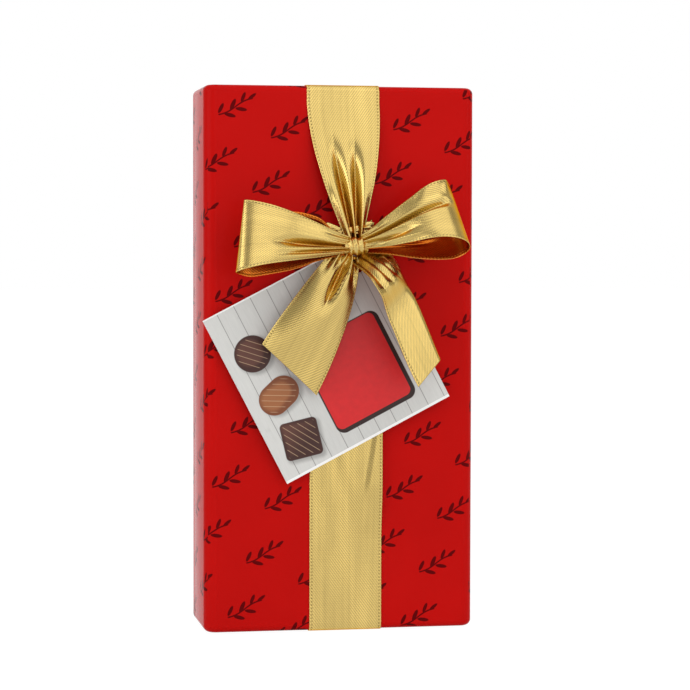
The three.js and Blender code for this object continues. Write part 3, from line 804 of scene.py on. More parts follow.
def cap(bm, rim, moves):
    """Close a tube's rim: a ring moved by each matrix in turn, then a face."""
    for move in moves:
        ring = bmesh.ops.extrude_edge_only(bm, edges=rim)["geom"]
        bmesh.ops.transform(bm, matrix=move, verts=only(BMVert, ring))
        rim = only(BMEdge, ring)
    bmesh.ops.edgeloop_fill(bm, edges=rim)


def grid_sheet(mesh_size, point, flat=None):
    """A grid whose vertices are moved to point(u, side), u along it and side from -1 to 1 across it."""
    steps, lanes = mesh_size
    bm = bmesh.new()
    uv = bm.loops.layers.uv.new("Weave")
    bmesh.ops.create_grid(bm, x_segments=lanes, y_segments=steps, size=1)
    if flat:
        for face in bm.faces:
            for loop in face.loops:
                loop[uv].uv = flat((loop.vert.co.y + 1) / 2, loop.vert.co.x)
    for vertex in bm.verts:
        vertex.co = point((vertex.co.y + 1) / 2, vertex.co.x)
    return bm


def ribbon_piece(name, bm, body, node, ribbon):
    return piece(name, bm, body, "gold_ribbon", shared_look("woven_ribbon", gold_ribbon, ribbon), node)


def ribbon_sheet(name, body, node, mesh_size, point, ribbon, shown):
    """A sheet of ribbon along point(u, side), with its weave mapped at its flat size. It faces forwards at u =
    shown.
    """
    steps = mesh_size[0]
    marks = [0.0]
    for step in range(steps):
        first, second = point(step / steps, 0), point((step + 1) / steps, 0)
        marks.append(marks[-1] + (second - first).length)

    def flat(u, side):
        place = u * steps
        index = min(int(place + 1e-6), steps - 1)
        along = lerp(marks[index], marks[index + 1], place - index)
        return (side + 1) / 2 * ribbon.width / MM, along / MM

    def faces_lid(mesh):
        spot = point(shown, 0)
        return min(mesh.faces, key=lambda face: (face.calc_center_median() - spot).length).normal.y > 0

    bm = grid_sheet(mesh_size, point, flat)
    face_outwards(bm, faces_lid)
    uv = bm.loops.layers.uv["Weave"]
    for face in only(BMFace, bmesh.ops.solidify(bm, geom=bm.faces[:], thickness=ribbon.cloth)["geom"]):
        for loop in face.loops:
            loop[uv].uv.x += REVERSE_SHIFT
    made = ribbon_piece(name, bm, body, node, ribbon)


# Lid and base

EDGE_SEGMENTS = 10
CORNER_SEGMENTS = 7
RIM_RADIUS = 0.35 * MM
RIM_SEGMENTS = 3
# Parts that the paper is cut into along Y and Z, so that its long sides can bulge
BULGE_PARTS = ((1, 9), (2, 14))
# Steepest normal of a face that still counts as the front
FRONT_LIMIT = 0.7


def open_box(low, high, edge, corner, mouth):
    """Five sides of a box with round edges. mouth is 1 if it opens towards +Y, -1 towards -Y."""
    bm = bmesh.new()
    block = Matrix.Translation((low + high) / 2) @ Matrix.Diagonal((*(high - low), 1))
    bmesh.ops.create_cube(bm, size=1, matrix=block)
    bm.normal_update()
    open_faces = [face for face in bm.faces if face.normal.y * mouth > 0.5]
    bmesh.ops.delete(bm, geom=open_faces, context="FACES_ONLY")
    upright = [e for e in folded_edges(bm, 1) if abs(e.verts[0].co.z - e.verts[1].co.z) > edge]
    round_off(bm, upright, edge, EDGE_SEGMENTS)
    round_off(bm, folded_edges(bm, 1), corner, CORNER_SEGMENTS)
    return bm


def paper_shell(low, high, edge, corner, wall, turn_in, camber, mouth):
    """An open box of paper, folded in over its rim."""
    bm = open_box(low, high, edge, corner, mouth)
    uv = bm.loops.layers.uv.new("Print")
    extent = high - low
    lip = bmesh.ops.extrude_edge_only(bm, edges=open_edges(bm))["geom"]
    inset = (1 - 2 * wall / extent.x, 1, 1 - 2 * wall / extent.z)
    bmesh.ops.transform(bm, matrix=scale_from((low + high) / 2, inset), verts=only(BMVert, lip))
    inner = bmesh.ops.extrude_edge_only(bm, edges=only(BMEdge, lip))["geom"]
    bmesh.ops.translate(bm, vec=(0, -mouth * turn_in, 0), verts=only(BMVert, inner))
    merge(bm)
    face_outwards(bm, lambda mesh: max(mesh.faces, key=BMFace.calc_area).normal.y * mouth > 0)
    round_off(bm, folded_edges(bm, 1), RIM_RADIUS, RIM_SEGMENTS)
    bulge_sides(bm, low, high, edge, camber)
    for face in bm.faces:
        for loop in face.loops:
            loop[uv].uv = unfolded(loop.vert.co, face.normal)
    return bm


def bulge_sides(bm, low, high, edge, camber):
    """Let the paper stand a little off the long sides, as it does on a wrapped box."""
    deep = high.y - low.y - 2 * edge
    for axis, count in BULGE_PARTS:
        way = Vector((0, 0, 0))
        way[axis] = 1
        for step in range(1, count):
            place = low.lerp(high, step / count)
            geom = bm.verts[:] + bm.edges[:] + bm.faces[:]
            bmesh.ops.bisect_plane(bm, geom=geom, plane_co=place, plane_no=way, dist=MERGE)
    for vertex in bm.verts:
        if min(vertex.co.x - low.x, high.x - vertex.co.x) < 1e-5:
            share = min(max((vertex.co.y - low.y - edge) / deep, 0), 1)
            tall = (vertex.co.z - low.z) / (high.z - low.z)
            swell = camber * math.sin(math.pi * share) * math.sin(math.pi * tall) ** 0.4
            vertex.co.x += math.copysign(swell, vertex.co.x)


def unfolded(point, normal):
    """Place on the paper laid flat, in millimetres, with the sides turned out beside the front."""
    deep = point.y - FRONT

    def turned_out(part):
        return deep * (1 if part > FRONT_LIMIT else -1 if part < -FRONT_LIMIT else 0)

    return (point.x + turned_out(normal.x)) / MM, (point.z + turned_out(normal.z)) / MM


def make_papers(paper):
    shells = (
        ("lid", LID_LOW, LID_HIGH, paper.camber, 1, "red_printed_paper"),
        ("base", BASE_LOW, BASE_HIGH, 0, -1, "red_plain_paper"),
    )
    for box, low, high, camber, mouth, finish in shells:
        edge, corner = getattr(paper, f"{box}_edge"), getattr(paper, f"{box}_corner")
        wall, turn_in = getattr(paper, f"{box}_wall"), getattr(paper, f"{box}_turn_in")
        bm = paper_shell(low, high, edge, corner, wall, turn_in, camber, mouth)
        look = shared_look(finish, red_paper, paper, box == "lid")
        walled(piece(f"{box}_paper", bm, box, "red_paper", look, f"{box}_wrap"), paper.paper)


def make_boards(paper):
    board = shared_look("greyboard", grey_board, paper)
    dress("base_board", board)
    bm = open_box(*node_box("lid_board"), paper.lid_edge - paper.paper, paper.lid_corner - paper.paper, 1)
    walled(piece("lid_shell", bm, "lid", "grey_board", board, "lid_board"), paper.board_wall)


CUSHION_MESH = (178, 84)
CUSHION_PAPER = 0.4 * MM
CUSHION_BORDER = 3 * MM
QUILT = 9 * MM


def make_cushion(paper):
    """A sheet of cushion paper with embossed diamonds, flattened along its edges."""
    low, high = node_box("lid_liner")

    def point(u, side):
        x = lerp(low.x, high.x, (side + 1) / 2)
        z = lerp(low.z, high.z, u)
        edge = min(x - low.x, high.x - x, z - low.z, high.z - z)
        rise = abs(math.sin(math.pi * (x + z) / QUILT) * math.sin(math.pi * (x - z) / QUILT)) ** 0.6
        return Vector((x, lerp(low.y, high.y, 0.45 + 0.5 * rise * ease(0, CUSHION_BORDER, edge)), z))

    bm = grid_sheet(CUSHION_MESH, point)
    face_outwards(bm, lambda mesh: next(iter(mesh.faces)).normal.y < 0)
    look = shared_look("embossed_paper", cushion_paper, paper)
    made = piece("lid_cushion", bm, "lid", "white_liner", look, "lid_liner")
    thicken(made, CUSHION_PAPER, -1)


# Tray and pralines

# A quarter turn that sets what was modelled upwards facing forwards
FACE_FRONT = Matrix.Rotation(math.radians(90), 4, "X")
POCKET_RIM = 3 * MM
POCKET_DRAFT = (0.945, 1, 0.945)
TRAY_BEND = 1.1 * MM


def make_tray(chocolates):
    """Gold film formed into pockets, with a skirt down to the base's floor."""
    low, high = node_box("praline_tray")
    middle = Vector(((low.x + high.x) / 2, low.y, (low.z + high.z) / 2))
    half = Vector(((high.x - low.x) / 2, 1, (high.z - low.z) / 2))
    bm = bmesh.new()
    bmesh.ops.create_grid(
        bm, x_segments=chocolates.columns, y_segments=chocolates.rows, size=1, matrix=FACE_FRONT
    )
    bmesh.ops.scale(bm, vec=half, verts=bm.verts)
    bmesh.ops.translate(bm, vec=middle, verts=bm.verts)
    mouths = list(bm.faces)
    bmesh.ops.inset_individual(bm, faces=mouths, thickness=POCKET_RIM, use_even_offset=True)
    for face in mouths:
        centre = face.calc_center_median()
        for vertex in face.verts:
            for axis in (0, 2):
                way = math.copysign(chocolates.pocket / 2, vertex.co[axis] - centre[axis])
                vertex.co[axis] = centre[axis] + way
    floors = bmesh.ops.extrude_discrete_faces(bm, faces=mouths)["faces"]
    corners = []
    for face in floors:
        draft = scale_from(face.calc_center_median(), POCKET_DRAFT)
        down = Matrix.Translation((0, chocolates.pocket_depth, 0))
        bmesh.ops.transform(bm, matrix=down @ draft, verts=face.verts)
        ring = set(face.edges)
        for vertex in face.verts:
            corners += [edge for edge in vertex.link_edges if edge not in ring]
    round_off(bm, corners, chocolates.pocket_corner, CORNER_SEGMENTS)
    skirt = bmesh.ops.extrude_edge_only(bm, edges=open_edges(bm))["geom"]
    bmesh.ops.translate(bm, vec=(0, high.y - low.y, 0), verts=only(BMVert, skirt))
    merge(bm)
    face_outwards(bm, lambda mesh: sum(face.normal.y * face.calc_area() for face in mesh.faces) > 0)
    round_off(bm, folded_edges(bm, 0.9), TRAY_BEND, 4)
    look = shared_look("formed_film", gold_film, chocolates)
    walled(piece("tray_film", bm, "base", "gold_tray", look, "praline_tray"), chocolates.film)


DOME_STEPS = 64
ARC_STEPS = 26
# A turned praline's foot: how far in from its widest place, and how high
FOOT_OUTLINE = ((2.4, 0), (0.9, 0.25), (0.2, 0.9))
SHOULDER = 1.5 * MM


def turned_praline(long, short, height, mark):
    """A praline turned on its axis. mark(x, y, share of the height) raises its crown."""
    bm = bmesh.new()
    radius = long / 2
    outline = [(0, 0)] + [(radius - inset * MM, up * MM) for inset, up in FOOT_OUTLINE]
    for step in range(ARC_STEPS + 1):
        turn = math.pi / 2 * step / ARC_STEPS
        across = max(math.cos(turn), 0) ** 0.75
        outline.append((radius * across, SHOULDER + (height - SHOULDER) * math.sin(turn) ** 0.9))
    chain = [bm.verts.new((r, 0, h)) for r, h in outline]
    edges = [bm.edges.new(pair) for pair in zip(chain, chain[1:])]
    bmesh.ops.spin(
        bm, geom=chain + edges, cent=(0, 0, 0), axis=(0, 0, 1), angle=math.tau, steps=DOME_STEPS,
        use_merge=True,
    )
    merge(bm)
    bmesh.ops.recalc_face_normals(bm, faces=bm.faces)
    for vertex in bm.verts:
        vertex.co.z += mark(vertex.co.x / radius, vertex.co.y / radius, vertex.co.z / height)
    bmesh.ops.scale(bm, vec=(1, short / long, 1), verts=bm.verts)
    return bm


def swirl(x, y, share):
    """Five grooves that wind round the crown."""
    far = math.hypot(x, y)
    groove = 0.5 - 0.5 * math.cos(5 * math.atan2(y, x) + 7 * far)
    return -0.9 * MM * groove * ease(0.35, 0.6, share) * ease(0.04, 0.25, far)


def combed(x, y, share):
    """Wavy grooves across the crown."""
    groove = 0.5 - 0.5 * math.cos(9 * x + 1.2 * math.sin(5 * y))
    return -0.7 * MM * groove * ease(0.45, 0.75, share)


SQUARE_CROWN = 0.86
SQUARE_CORNER = 4.5 * MM
SQUARE_RIM = 2 * MM
# The crown is cut across this often for its ridges, and the other way at every sixth cut
RIDGE_CUTS = 34
RIDGE_PITCH = 5.6 * MM
RIDGE_DEPTH = 0.8 * MM


def square_praline(side, height):
    """A square praline with round edges and slanting ridges on its crown."""
    bm = bmesh.new()
    block = Matrix.Translation((0, 0, height / 2)) @ Matrix.Diagonal((side, side, height, 1))
    bmesh.ops.create_cube(bm, size=1, matrix=block)
    crown = [vertex for vertex in bm.verts if vertex.co.z > height / 2]
    bmesh.ops.scale(bm, vec=(SQUARE_CROWN, SQUARE_CROWN, 1), verts=crown)
    upright = [edge for edge in bm.edges if len({vertex.co.z > height / 2 for vertex in edge.verts}) == 2]
    round_off(bm, upright, SQUARE_CORNER, 6)
    round_off(bm, folded_edges(bm, 0.9), SQUARE_RIM, 5)
    bm.normal_update()
    top = max(bm.faces, key=lambda face: face.calc_center_median().z)
    bmesh.ops.inset_region(bm, faces=[top], thickness=0.4 * MM, use_even_offset=True)
    half = max(vertex.co.x for vertex in top.verts)
    for step in range(1, RIDGE_CUTS):
        for way in (Vector((1, 1, 0)), Vector((1, -1, 0)))[:1 if step % 6 else 2]:
            flat = {part for f in bm.faces if f.normal.z > 0.99 for part in (f, *f.edges, *f.verts)}
            place = way * (half * (2 * step / RIDGE_CUTS - 1))
            bmesh.ops.bisect_plane(bm, geom=list(flat), plane_co=place, plane_no=way)
    limit = half - 0.9 * MM
    for vertex in bm.verts:
        if vertex.co.z > height - 0.1 * MM:
            inside = min(limit - abs(vertex.co.x), limit - abs(vertex.co.y))
            wave = 0.5 + 0.5 * math.cos((vertex.co.x + vertex.co.y) * math.tau / RIDGE_PITCH)
            vertex.co.z -= RIDGE_DEPTH * ease(0, 1.6 * MM, inside) * wave
    return bm


HEART_POINTS = 72
HEART_ROUND = 4.2 * MM


def heart_praline(width, height):
    """A heart with a round crown, on the usual heart curve, which is 32 units wide."""
    bm = bmesh.new()
    bmesh.ops.create_circle(bm, cap_ends=True, segments=HEART_POINTS, radius=1)
    for vertex in bm.verts:
        turn = math.atan2(vertex.co.x, vertex.co.y)
        x = 16 * math.sin(turn) ** 3
        y = 13 * math.cos(turn) - 5 * math.cos(2 * turn) - 2 * math.cos(3 * turn) - math.cos(4 * turn)
        vertex.co = Vector((x / 32 * width, (y + 2.3) / 32 * width * 0.96, 0))
    top = bmesh.ops.extrude_face_region(bm, geom=bm.faces[:])["geom"]
    bmesh.ops.translate(bm, vec=(0, 0, height), verts=only(BMVert, top))
    bmesh.ops.recalc_face_normals(bm, faces=bm.faces)
    rim = [edge for edge in bm.edges if min(vertex.co.z for vertex in edge.verts) > height / 2]
    round_off(bm, rim, HEART_ROUND, 8)
    merge(bm, 0.05 * MM)
    bmesh.ops.recalc_face_normals(bm, faces=bm.faces)
    return bm


# Each design's shape from width, length and height, then its slot, colour setting and gloss
PRALINES = {
    "dome": (lambda w, l, h: turned_praline(w, l, h, swirl), "dark_chocolate", "dark", 0.27),
    "square": (lambda w, l, h: square_praline(w, h), "milk_chocolate", "milk", 0.31),
    "oval": (lambda w, l, h: turned_praline(w, l, h, combed), "white_chocolate", "white", 0.34),
    "heart": (lambda w, l, h: heart_praline(w, h), "dark_chocolate", "dark", 0.27),
}


def make_pralines(chocolates):
    nodes = [name for name in frame["nodes"] if name.startswith("praline_") and name != "praline_tray"]
    for node in sorted(nodes):
        number, design = node.split("_")[1:]
        shape, slot, setting, gloss = PRALINES[design]
        low, high = node_box(node)
        bm = shape(high.x - low.x, high.z - low.z, high.y - low.y)
        foot = Vector(((low.x + high.x) / 2, high.y, (low.z + high.z) / 2))
        bmesh.ops.transform(bm, matrix=Matrix.Translation(foot) @ FACE_FRONT, verts=bm.verts)
        look = shared_look(f"moulded_{slot}", chocolate, getattr(chocolates, setting), gloss)
        even_shading(piece(f"chocolate_{number}_{design}", bm, "base", slot, look, node))


# Ribbon band

def arc_points(middle, radius, start, end, steps):
    """Points on an arc, as depth and height, angles in degrees."""
    for step in range(steps + 1):
        turn = math.radians(lerp(start, end, step / steps))
        yield Vector((middle[0] + radius * math.cos(turn), middle[1] + radius * math.sin(turn)))


class Track:
    """A line of points that is walked by distance."""

    def __init__(self, points):
        self.points = points
        self.marks = [0.0]
        for first, second in zip(points, points[1:]):
            self.marks.append(self.marks[-1] + (second - first).length)
        self.length = self.marks[-1]

    def at(self, distance):
        index = 0
        while index < len(self.points) - 2 and self.marks[index + 1] < distance:
            index += 1
        span = self.marks[index + 1] - self.marks[index]
        return self.points[index].lerp(self.points[index + 1], (distance - self.marks[index]) / span)


def end_turn(ribbon, paper, gather_start, sign):
    """The ribbon's line from behind the rim, round one end of the lid and on to the front."""
    middle = ribbon.stand_off
    half = (LID_HIGH.z - LID_LOW.z) / 2
    centre = (LID_HIGH.z + LID_LOW.z) / 2
    outside = half + middle
    inside = half - paper.lid_wall - middle
    back = LID_HIGH.y + middle
    bend = ribbon.tuck_bend
    edge = paper.lid_corner + middle
    line = [Vector((LID_HIGH.y - ribbon.tuck, inside))]
    line += arc_points((back - bend, inside + bend), bend, -90, 0, 5)
    line += arc_points((back - bend, outside - bend), bend, 0, 90, 5)
    line += arc_points((FRONT + paper.lid_corner, outside - edge), edge, 90, 180, 9)
    line.append(Vector((FRONT - middle, sign * (gather_start - centre))))
    return Track([Vector((p.x, centre + sign * p.y)) for p in line])


def band_run(ribbon, paper, sign, gather):
    """One run of the band: round an end of the lid, then gathered to its neck."""
    turn = end_turn(ribbon, paper, gather["start"], sign)
    total = turn.length + abs(gather["end"] - gather["start"])

    def point(u, side):
        distance = u * total
        if distance <= turn.length:
            place = turn.at(distance)
            buckle = gather["buckle"](place.y, side) if distance > turn.length / 2 else 0
            return Vector((gather["shift"] + side * ribbon.width / 2, place.x - buckle, place.y))
        draw = (distance - turn.length) / (total - turn.length)
        width = lerp(ribbon.neck, ribbon.width, gather["ease"](1 - draw))
        slack = max(1 - (width / ribbon.width) ** 2, 0) ** 0.25
        centre = lerp(gather["shift"], gather["neck"], draw)
        up = lerp(gather["start"], gather["end"], draw)
        out = ribbon.stand_off + gather["lift"] * draw ** 1.5 + gather["pleats"](draw, side) * slack
        out = max(out + gather["buckle"](up, side), ribbon.stand_off)
        return before(centre + side * width / 2, out, up)

    return point


# Middle at the start and at the neck, first place and depth in millimetres of each long valley
UPPER_VALLEYS = ((-0.46, -0.16, 0.02, 5.0), (0.2, 0.36, 0.06, 4.8))
UPPER_HALF = 0.34


def upper_pleats(draw, side):
    """Two long valleys, and edges that turn back near the neck."""
    depth = 2.2 * ease(0.66, 0.98, abs(side)) * ease(0.45, 0.9, draw)
    for start, end, first, deepest in UPPER_VALLEYS:
        depth += deepest * crease(side, lerp(start, end, draw), UPPER_HALF) * ease(first, 0.75, draw)
    return -depth * MM


def no_pleats(draw, side):
    return 0.0


STEP_RISE = 0.95 * MM
STEP_HALF = 0.13
# Height where the two steps of the lower run meet, and height over which they spread
STEP_MEET = 35 * MM
STEP_SPREAD = 26 * MM


def lower_buckle(up, side):
    """Two low steps that run together below the tag, where the lower run stands off the lid."""
    share = (up - STEP_MEET) / STEP_SPREAD
    middles = lerp(0.37, -0.18, share), lerp(0.37, 0.7, share)
    steps = sum(ease(middle - STEP_HALF, middle + STEP_HALF, side) for middle in middles)
    return STEP_RISE * steps * ease(32 * MM, 52 * MM, up) * ease(105 * MM, 85 * MM, up)


# Steps along a sheet and lanes across it
UPPER_MESH = (220, 72)
LOWER_MESH = (240, 40)
# From the knot's middle to the middle of the lower run's neck
LOWER_NECK = -2 * MM


def make_band(ribbon, paper):
    half_knot_foot = node_box("band_knot")[0].z
    upper = {
        "start": LID_HIGH.z - paper.lid_corner - ribbon.upper_flat,
        "end": KNOT_HIGH.z - ribbon.bury,
        "shift": ribbon.upper_shift,
        "neck": KNOT.x,
        "lift": FRONT - KNOT.y - ribbon.stand_off,
        "ease": lambda share: math.sin(share * math.pi / 2),
        "pleats": upper_pleats,
        "buckle": no_pleats,
    }
    lower = {
        "start": half_knot_foot - ribbon.lower_gather,
        "end": half_knot_foot - ribbon.seat_gap,
        "shift": ribbon.lower_shift,
        "neck": KNOT.x + LOWER_NECK,
        "lift": 0,
        "ease": lambda share: share ** 1.3,
        "pleats": no_pleats,
        "buckle": lower_buckle,
    }
    for name, mesh_size, sign, gather in (("upper", UPPER_MESH, 1, upper), ("lower", LOWER_MESH, -1, lower)):
        point = band_run(ribbon, paper, sign, gather)
        ribbon_sheet(
            f"ribbon_run_{name}", "lid", f"ribbon_{name}", mesh_size, point, ribbon,
            0.9,
        )
    tape = shared_look("adhesive_tape", clear_tape, ribbon)
    for node in ("ribbon_tape_top", "ribbon_tape_bottom"):
        dress(node, tape)
    make_half_knot(ribbon)


# Ends of the half knot from the bow's knot, as right, out from the lid and up, in millimetres
FRILL_ENDS = ((-8.8, 6.0, 4.8), (6.8, 6.6, 5.9))
FRILL_WAIST = 1.5 * MM
FRILL_END = 2.7 * MM
FRILL_MESH = (84, 48)
# How much each ring of an end shrinks, and how far it goes in, in millimetres
FRILL_RINGS = ((0.8, 0.5), (0.5, 0.9))


def make_half_knot(ribbon):
    """The half knot behind the bow: ribbon drawn tight in the middle, with crumpled ends."""
    ends = [before(KNOT.x + r * MM, out * MM, KNOT.z + up * MM) for r, out, up in FRILL_ENDS]
    middle = (ends[0] + ends[1]) / 2
    length = (ends[1] - ends[0]).length
    way = (ends[1] - ends[0]).normalized()
    lift = way.cross(OUT).normalized()

    def point(u, side):
        turn = math.tau * u
        reach = lerp(FRILL_WAIST, FRILL_END, abs(side) ** 1.6)
        ruffle = math.cos(6 * turn + 4 * side) + 0.6 * math.cos(11 * turn - 5 * side)
        reach *= 1 + 0.24 * abs(side) * ruffle
        along = (side + 0.05 * abs(side) ** 3 * math.copysign(math.cos(5 * turn), side) + 1) / 2
        return ends[0].lerp(ends[1], along) + (lift * math.sin(turn) + OUT * 0.8 * math.cos(turn)) * reach

    def flat(u, side):
        return u * ribbon.width / MM, (side + 1) / 2 * length / MM

    bm = grid_sheet(FRILL_MESH, point, flat)
    merge(bm)
    for end, sign in zip(ends, (-1, 1)):
        rim = [edge for edge in open_edges(bm) if (edge.verts[0].co - middle).dot(way) * sign > 0]
        cap(bm, rim, [
            Matrix.Translation(way * (-sign * inset * MM)) @ scale_from(end, (shrink,) * 3)
            for shrink, inset in FRILL_RINGS
        ])
    bmesh.ops.recalc_face_normals(bm, faces=bm.faces)
    ribbon_piece("half_knot", bm, "lid", "band_knot", ribbon)


# Bow

KNOT_MESH = (72, 40)
KNOT_FOLDS = 3.4
KNOT_CREASE = 0.15
KNOT_RINGS = (0.86, 0.55, 0.2)


def make_knot(ribbon):
    """A short length of ribbon wound tightly round the others, creased along its way round."""

    def point(u, side):
        turn = math.tau * u
        wave = math.cos(KNOT_FOLDS * math.pi * side + 1.3 * math.sin(turn + 2 * side))
        bulge = 1 - 0.24 * abs(side) ** 3 - KNOT_CREASE * (0.5 - 0.5 * wave)
        bulge += 0.05 * noise.noise(Vector((4 * side, 3 * math.cos(turn), 3 * math.sin(turn))))
        x = side * KNOT_HALF.x * (1 + 0.03 * math.cos(2 * turn))
        return KNOT + Vector((x, -KNOT_HALF.y * bulge * math.cos(turn), KNOT_HALF.z * bulge * math.sin(turn)))

    def flat(u, side):
        return (side + 1) / 2 * ribbon.width / MM, u * math.pi * (KNOT_HALF.y + KNOT_HALF.z) / MM

    bm = grid_sheet(KNOT_MESH, point, flat)
    merge(bm)
    for sign in (-1, 1):
        rim = [edge for edge in open_edges(bm) if (edge.verts[0].co.x - KNOT.x) * sign > 0]
        cap(bm, rim, [scale_from(KNOT, (0.99 - 0.06 * (1 - shrink), shrink, shrink)) for shrink in KNOT_RINGS])
    bmesh.ops.recalc_face_normals(bm, faces=bm.faces)
    ribbon_piece("knot_wrap", bm, "lid", "bow_knot", ribbon)


# Folds of the bow are in millimetres. open_share and u are 0 at the knot, and side is 1 at the upper edge.

LAYER_SPACE = 3.6 * MM


def back_folds(open_share, side):
    """Gathers of a loop's back layer, above the part that the opening shows."""
    return 1.5 * math.cos(5.5 * math.pi * side) * ease(0.8, 0.1, open_share) * ease(-0.5, -0.1, side)


def fine_folds(open_share, side, shift):
    """Fine pleats of a loop's front layer at the knot."""
    return 0.35 * math.cos(4.5 * math.pi * side + shift) * ease(0.32, 0.05, open_share)


def loop_slack(open_share):
    """Room for creases in a loop's front layer: little at the knot, none at the turn."""
    return math.sqrt(max(1 - open_share ** 2, 0)) * lerp(0.4, 1, ease(0, 0.3, open_share))


def left_folds(open_share, side, front):
    """Creases of the left loop: two valleys from the knot, and a lower edge that turns under."""
    if not front:
        hood = 3.0 * ease(0.45, 1.0, side) * ease(0.05, 0.25, open_share) * ease(0.9, 0.4, open_share)
        return back_folds(open_share, side) * ease(0.7, 0.4, side) + hood
    valley = 3.8 * crease(side, -0.16 - 0.08 * open_share, 0.34) * ease(0.84, 0.45, open_share)
    lower = 2.2 * crease(side, -0.62 - 0.1 * open_share, 0.24) * ease(0.8, 0.4, open_share)
    under = 1.8 * ease(-0.76, -1.0, side) * ease(0.9, 0.5, open_share)
    return fine_folds(open_share, side, 0) - loop_slack(open_share) * (valley + lower + under)


def right_folds(open_share, side, front):
    """Creases of the right loop: a long valley to its turn, a short one, and a curled top corner."""
    if not front:
        return back_folds(open_share, side)
    slack = loop_slack(open_share)
    deepest = (1.9 + 1.2 * slack) * ease(-0.2, 0.3, open_share) * ease(0.995, 0.85, open_share)
    long = deepest * crease(side, 0.18 + 0.14 * open_share, 0.22)
    short = 2.0 * slack * crease(side, -0.36, 0.36) * ease(0.66, 0.25, open_share)
    under = 1.0 * slack * ease(-0.66, -1.0, side) * ease(0.8, 0.45, open_share)
    curl = 1.6 * ease(0.5, 1.0, side) * ease(0.55, 0.85, open_share) * ease(1.0, 0.93, open_share)
    return fine_folds(open_share, side, 0.6) + curl - (long + short + under)


def bow_loop(loop, side_way, ribbon, folds):
    """A loop that leaves the knot, turns and comes back, gathered at the knot."""
    level = math.cos(loop.flare)
    axis = Vector((side_way * level * math.cos(loop.rise), -math.sin(loop.flare), level * math.sin(loop.rise)))
    upright = Vector((-side_way * math.sin(loop.rise), 0, math.cos(loop.rise)))
    facing = upright.cross(axis) * -side_way
    across = upright * math.cos(loop.lean) - facing * math.sin(loop.lean)
    outward = facing * math.cos(loop.lean) + upright * math.sin(loop.lean)
    length = loop.length + ribbon.bury
    root = KNOT + axis * (KNOT_HALF.x - ribbon.bury)

    def profile(u, side):
        turn = math.pi * u
        opening = max(math.sin(turn), 0)
        tight = loop.tight * lerp(0.25, 1, (side + 1) / 2)
        belly = loop.swell * math.sin(2 * turn) * math.sqrt(opening) * (1 - tight * opening ** 4)
        return Vector((length * math.sin(turn), LAYER_SPACE / 2 * math.cos(turn) + belly))

    def point(u, side):
        opening = max(math.sin(math.pi * u), 0)
        front = u < 0.5
        tangent = (profile(u + 1e-3, side) - profile(u - 1e-3, side)).normalized()
        normal = Vector((-tangent.y, tangent.x))
        depth = folds(opening, side, front) * MM
        middle = profile(u, side) + normal * depth * (1 if front else -1)
        half = lerp(ribbon.neck, ribbon.width, opening) / 2
        along = middle.x - loop.slant * side * opening
        peek = loop.peek * max(side, 0) * ease(0.04, 0.3, opening) * ease(0.92, 0.35, opening)
        sag = loop.sag * min(side, 0) * ease(0.15, 0.5, opening) * ease(1.0, 0.8, opening)
        rise = side * half + (peek + sag if u > 0.5 else 0)
        return root + axis * along + outward * middle.y + across * rise

    return point


def left_tail_folds(u, side):
    """A deep valley from the knot, and finer pleats at its root."""
    valley = 3.4 * crease(side, 0.1 - 0.25 * u, 0.34) * ease(0.02, 0.14, u) * ease(0.58, 0.28, u)
    fine = 0.9 * math.cos(4 * math.pi * side) * ease(0.3, 0.0, u)
    return fine - valley


def right_tail_folds(u, side):
    """Pleats that fan out from the knot and end on the hump."""
    fan = sum(crease(side, middle, 0.26) for middle in (-0.7, -0.25, 0.2, 0.65))
    return -1.3 * fan * ease(0.0, 0.05, u) * ease(0.4, 0.14, u)


def bow_tail(tail, guides, ribbon, folds):
    """A tail that leaves the knot's underside and hangs in front of the tag, cut aslant."""
    foot = KNOT_LOW.z - ribbon.seat_gap - ribbon.neck / 8

    def place(reach, out, drop):
        return before(KNOT.x + tail.root + reach, out, foot - drop)

    line = [place(0, FRONT - KNOT.y + tail.root_out, -ribbon.tail_raise)]
    line += [place(reach * tail.reach, out * MM, drop * tail.drop) for reach, drop, out in guides]
    line.append(place(tail.reach, tail.out, tail.drop))
    length = math.hypot(tail.reach, tail.drop)
    level = Vector((tail.drop / length, 0, tail.reach / length))

    def point(u, side):
        along = u * (1 + tail.cut * side / (2 * length))
        spread = math.sin(u * math.pi / 2) ** tail.spread
        width = lerp(ribbon.tail_neck, ribbon.width, spread)
        bend = math.radians(0.5) + 4 * tail.arch * u * (1 - u) + tail.curl * u
        bent = lerp(1, tail.bent, ease(0.15, 0.55, u))
        radius = width * bent / bend
        facing = tail.turn * spread
        from_fold = side - tail.fold * ease(0.0, 0.3, u) * lerp(1.6, 0.4, u)
        arc_side = min(max(from_fold, -bent), bent)
        flank = (from_fold - arc_side) * width / 2
        turn = facing + bend * arc_side / (2 * bent)
        depth = folds(u, side) * MM
        s, c = math.sin(turn), math.cos(turn)
        sideways = radius * (s - math.sin(facing)) + flank * c + depth * s
        outwards = radius * (c - math.cos(facing)) - flank * s + depth * c
        outwards += tail.hump * ease(0.0, 0.2, u) * ease(0.46, 0.26, u)
        return bezier(line, along) + level * sideways + OUT * outwards

    return point


# Guides of a tail's line: shares of its reach and drop, and millimetres out from the lid
LEFT_TAIL_GUIDES = ((0.21, 0.26, 14), (0.58, 0.61, 14))
RIGHT_TAIL_GUIDES = ((0.62, 0.08, 16), (0.72, 0.5, 12))
LOOP_MESH = (180, 72)
TAIL_MESH = (130, 72)


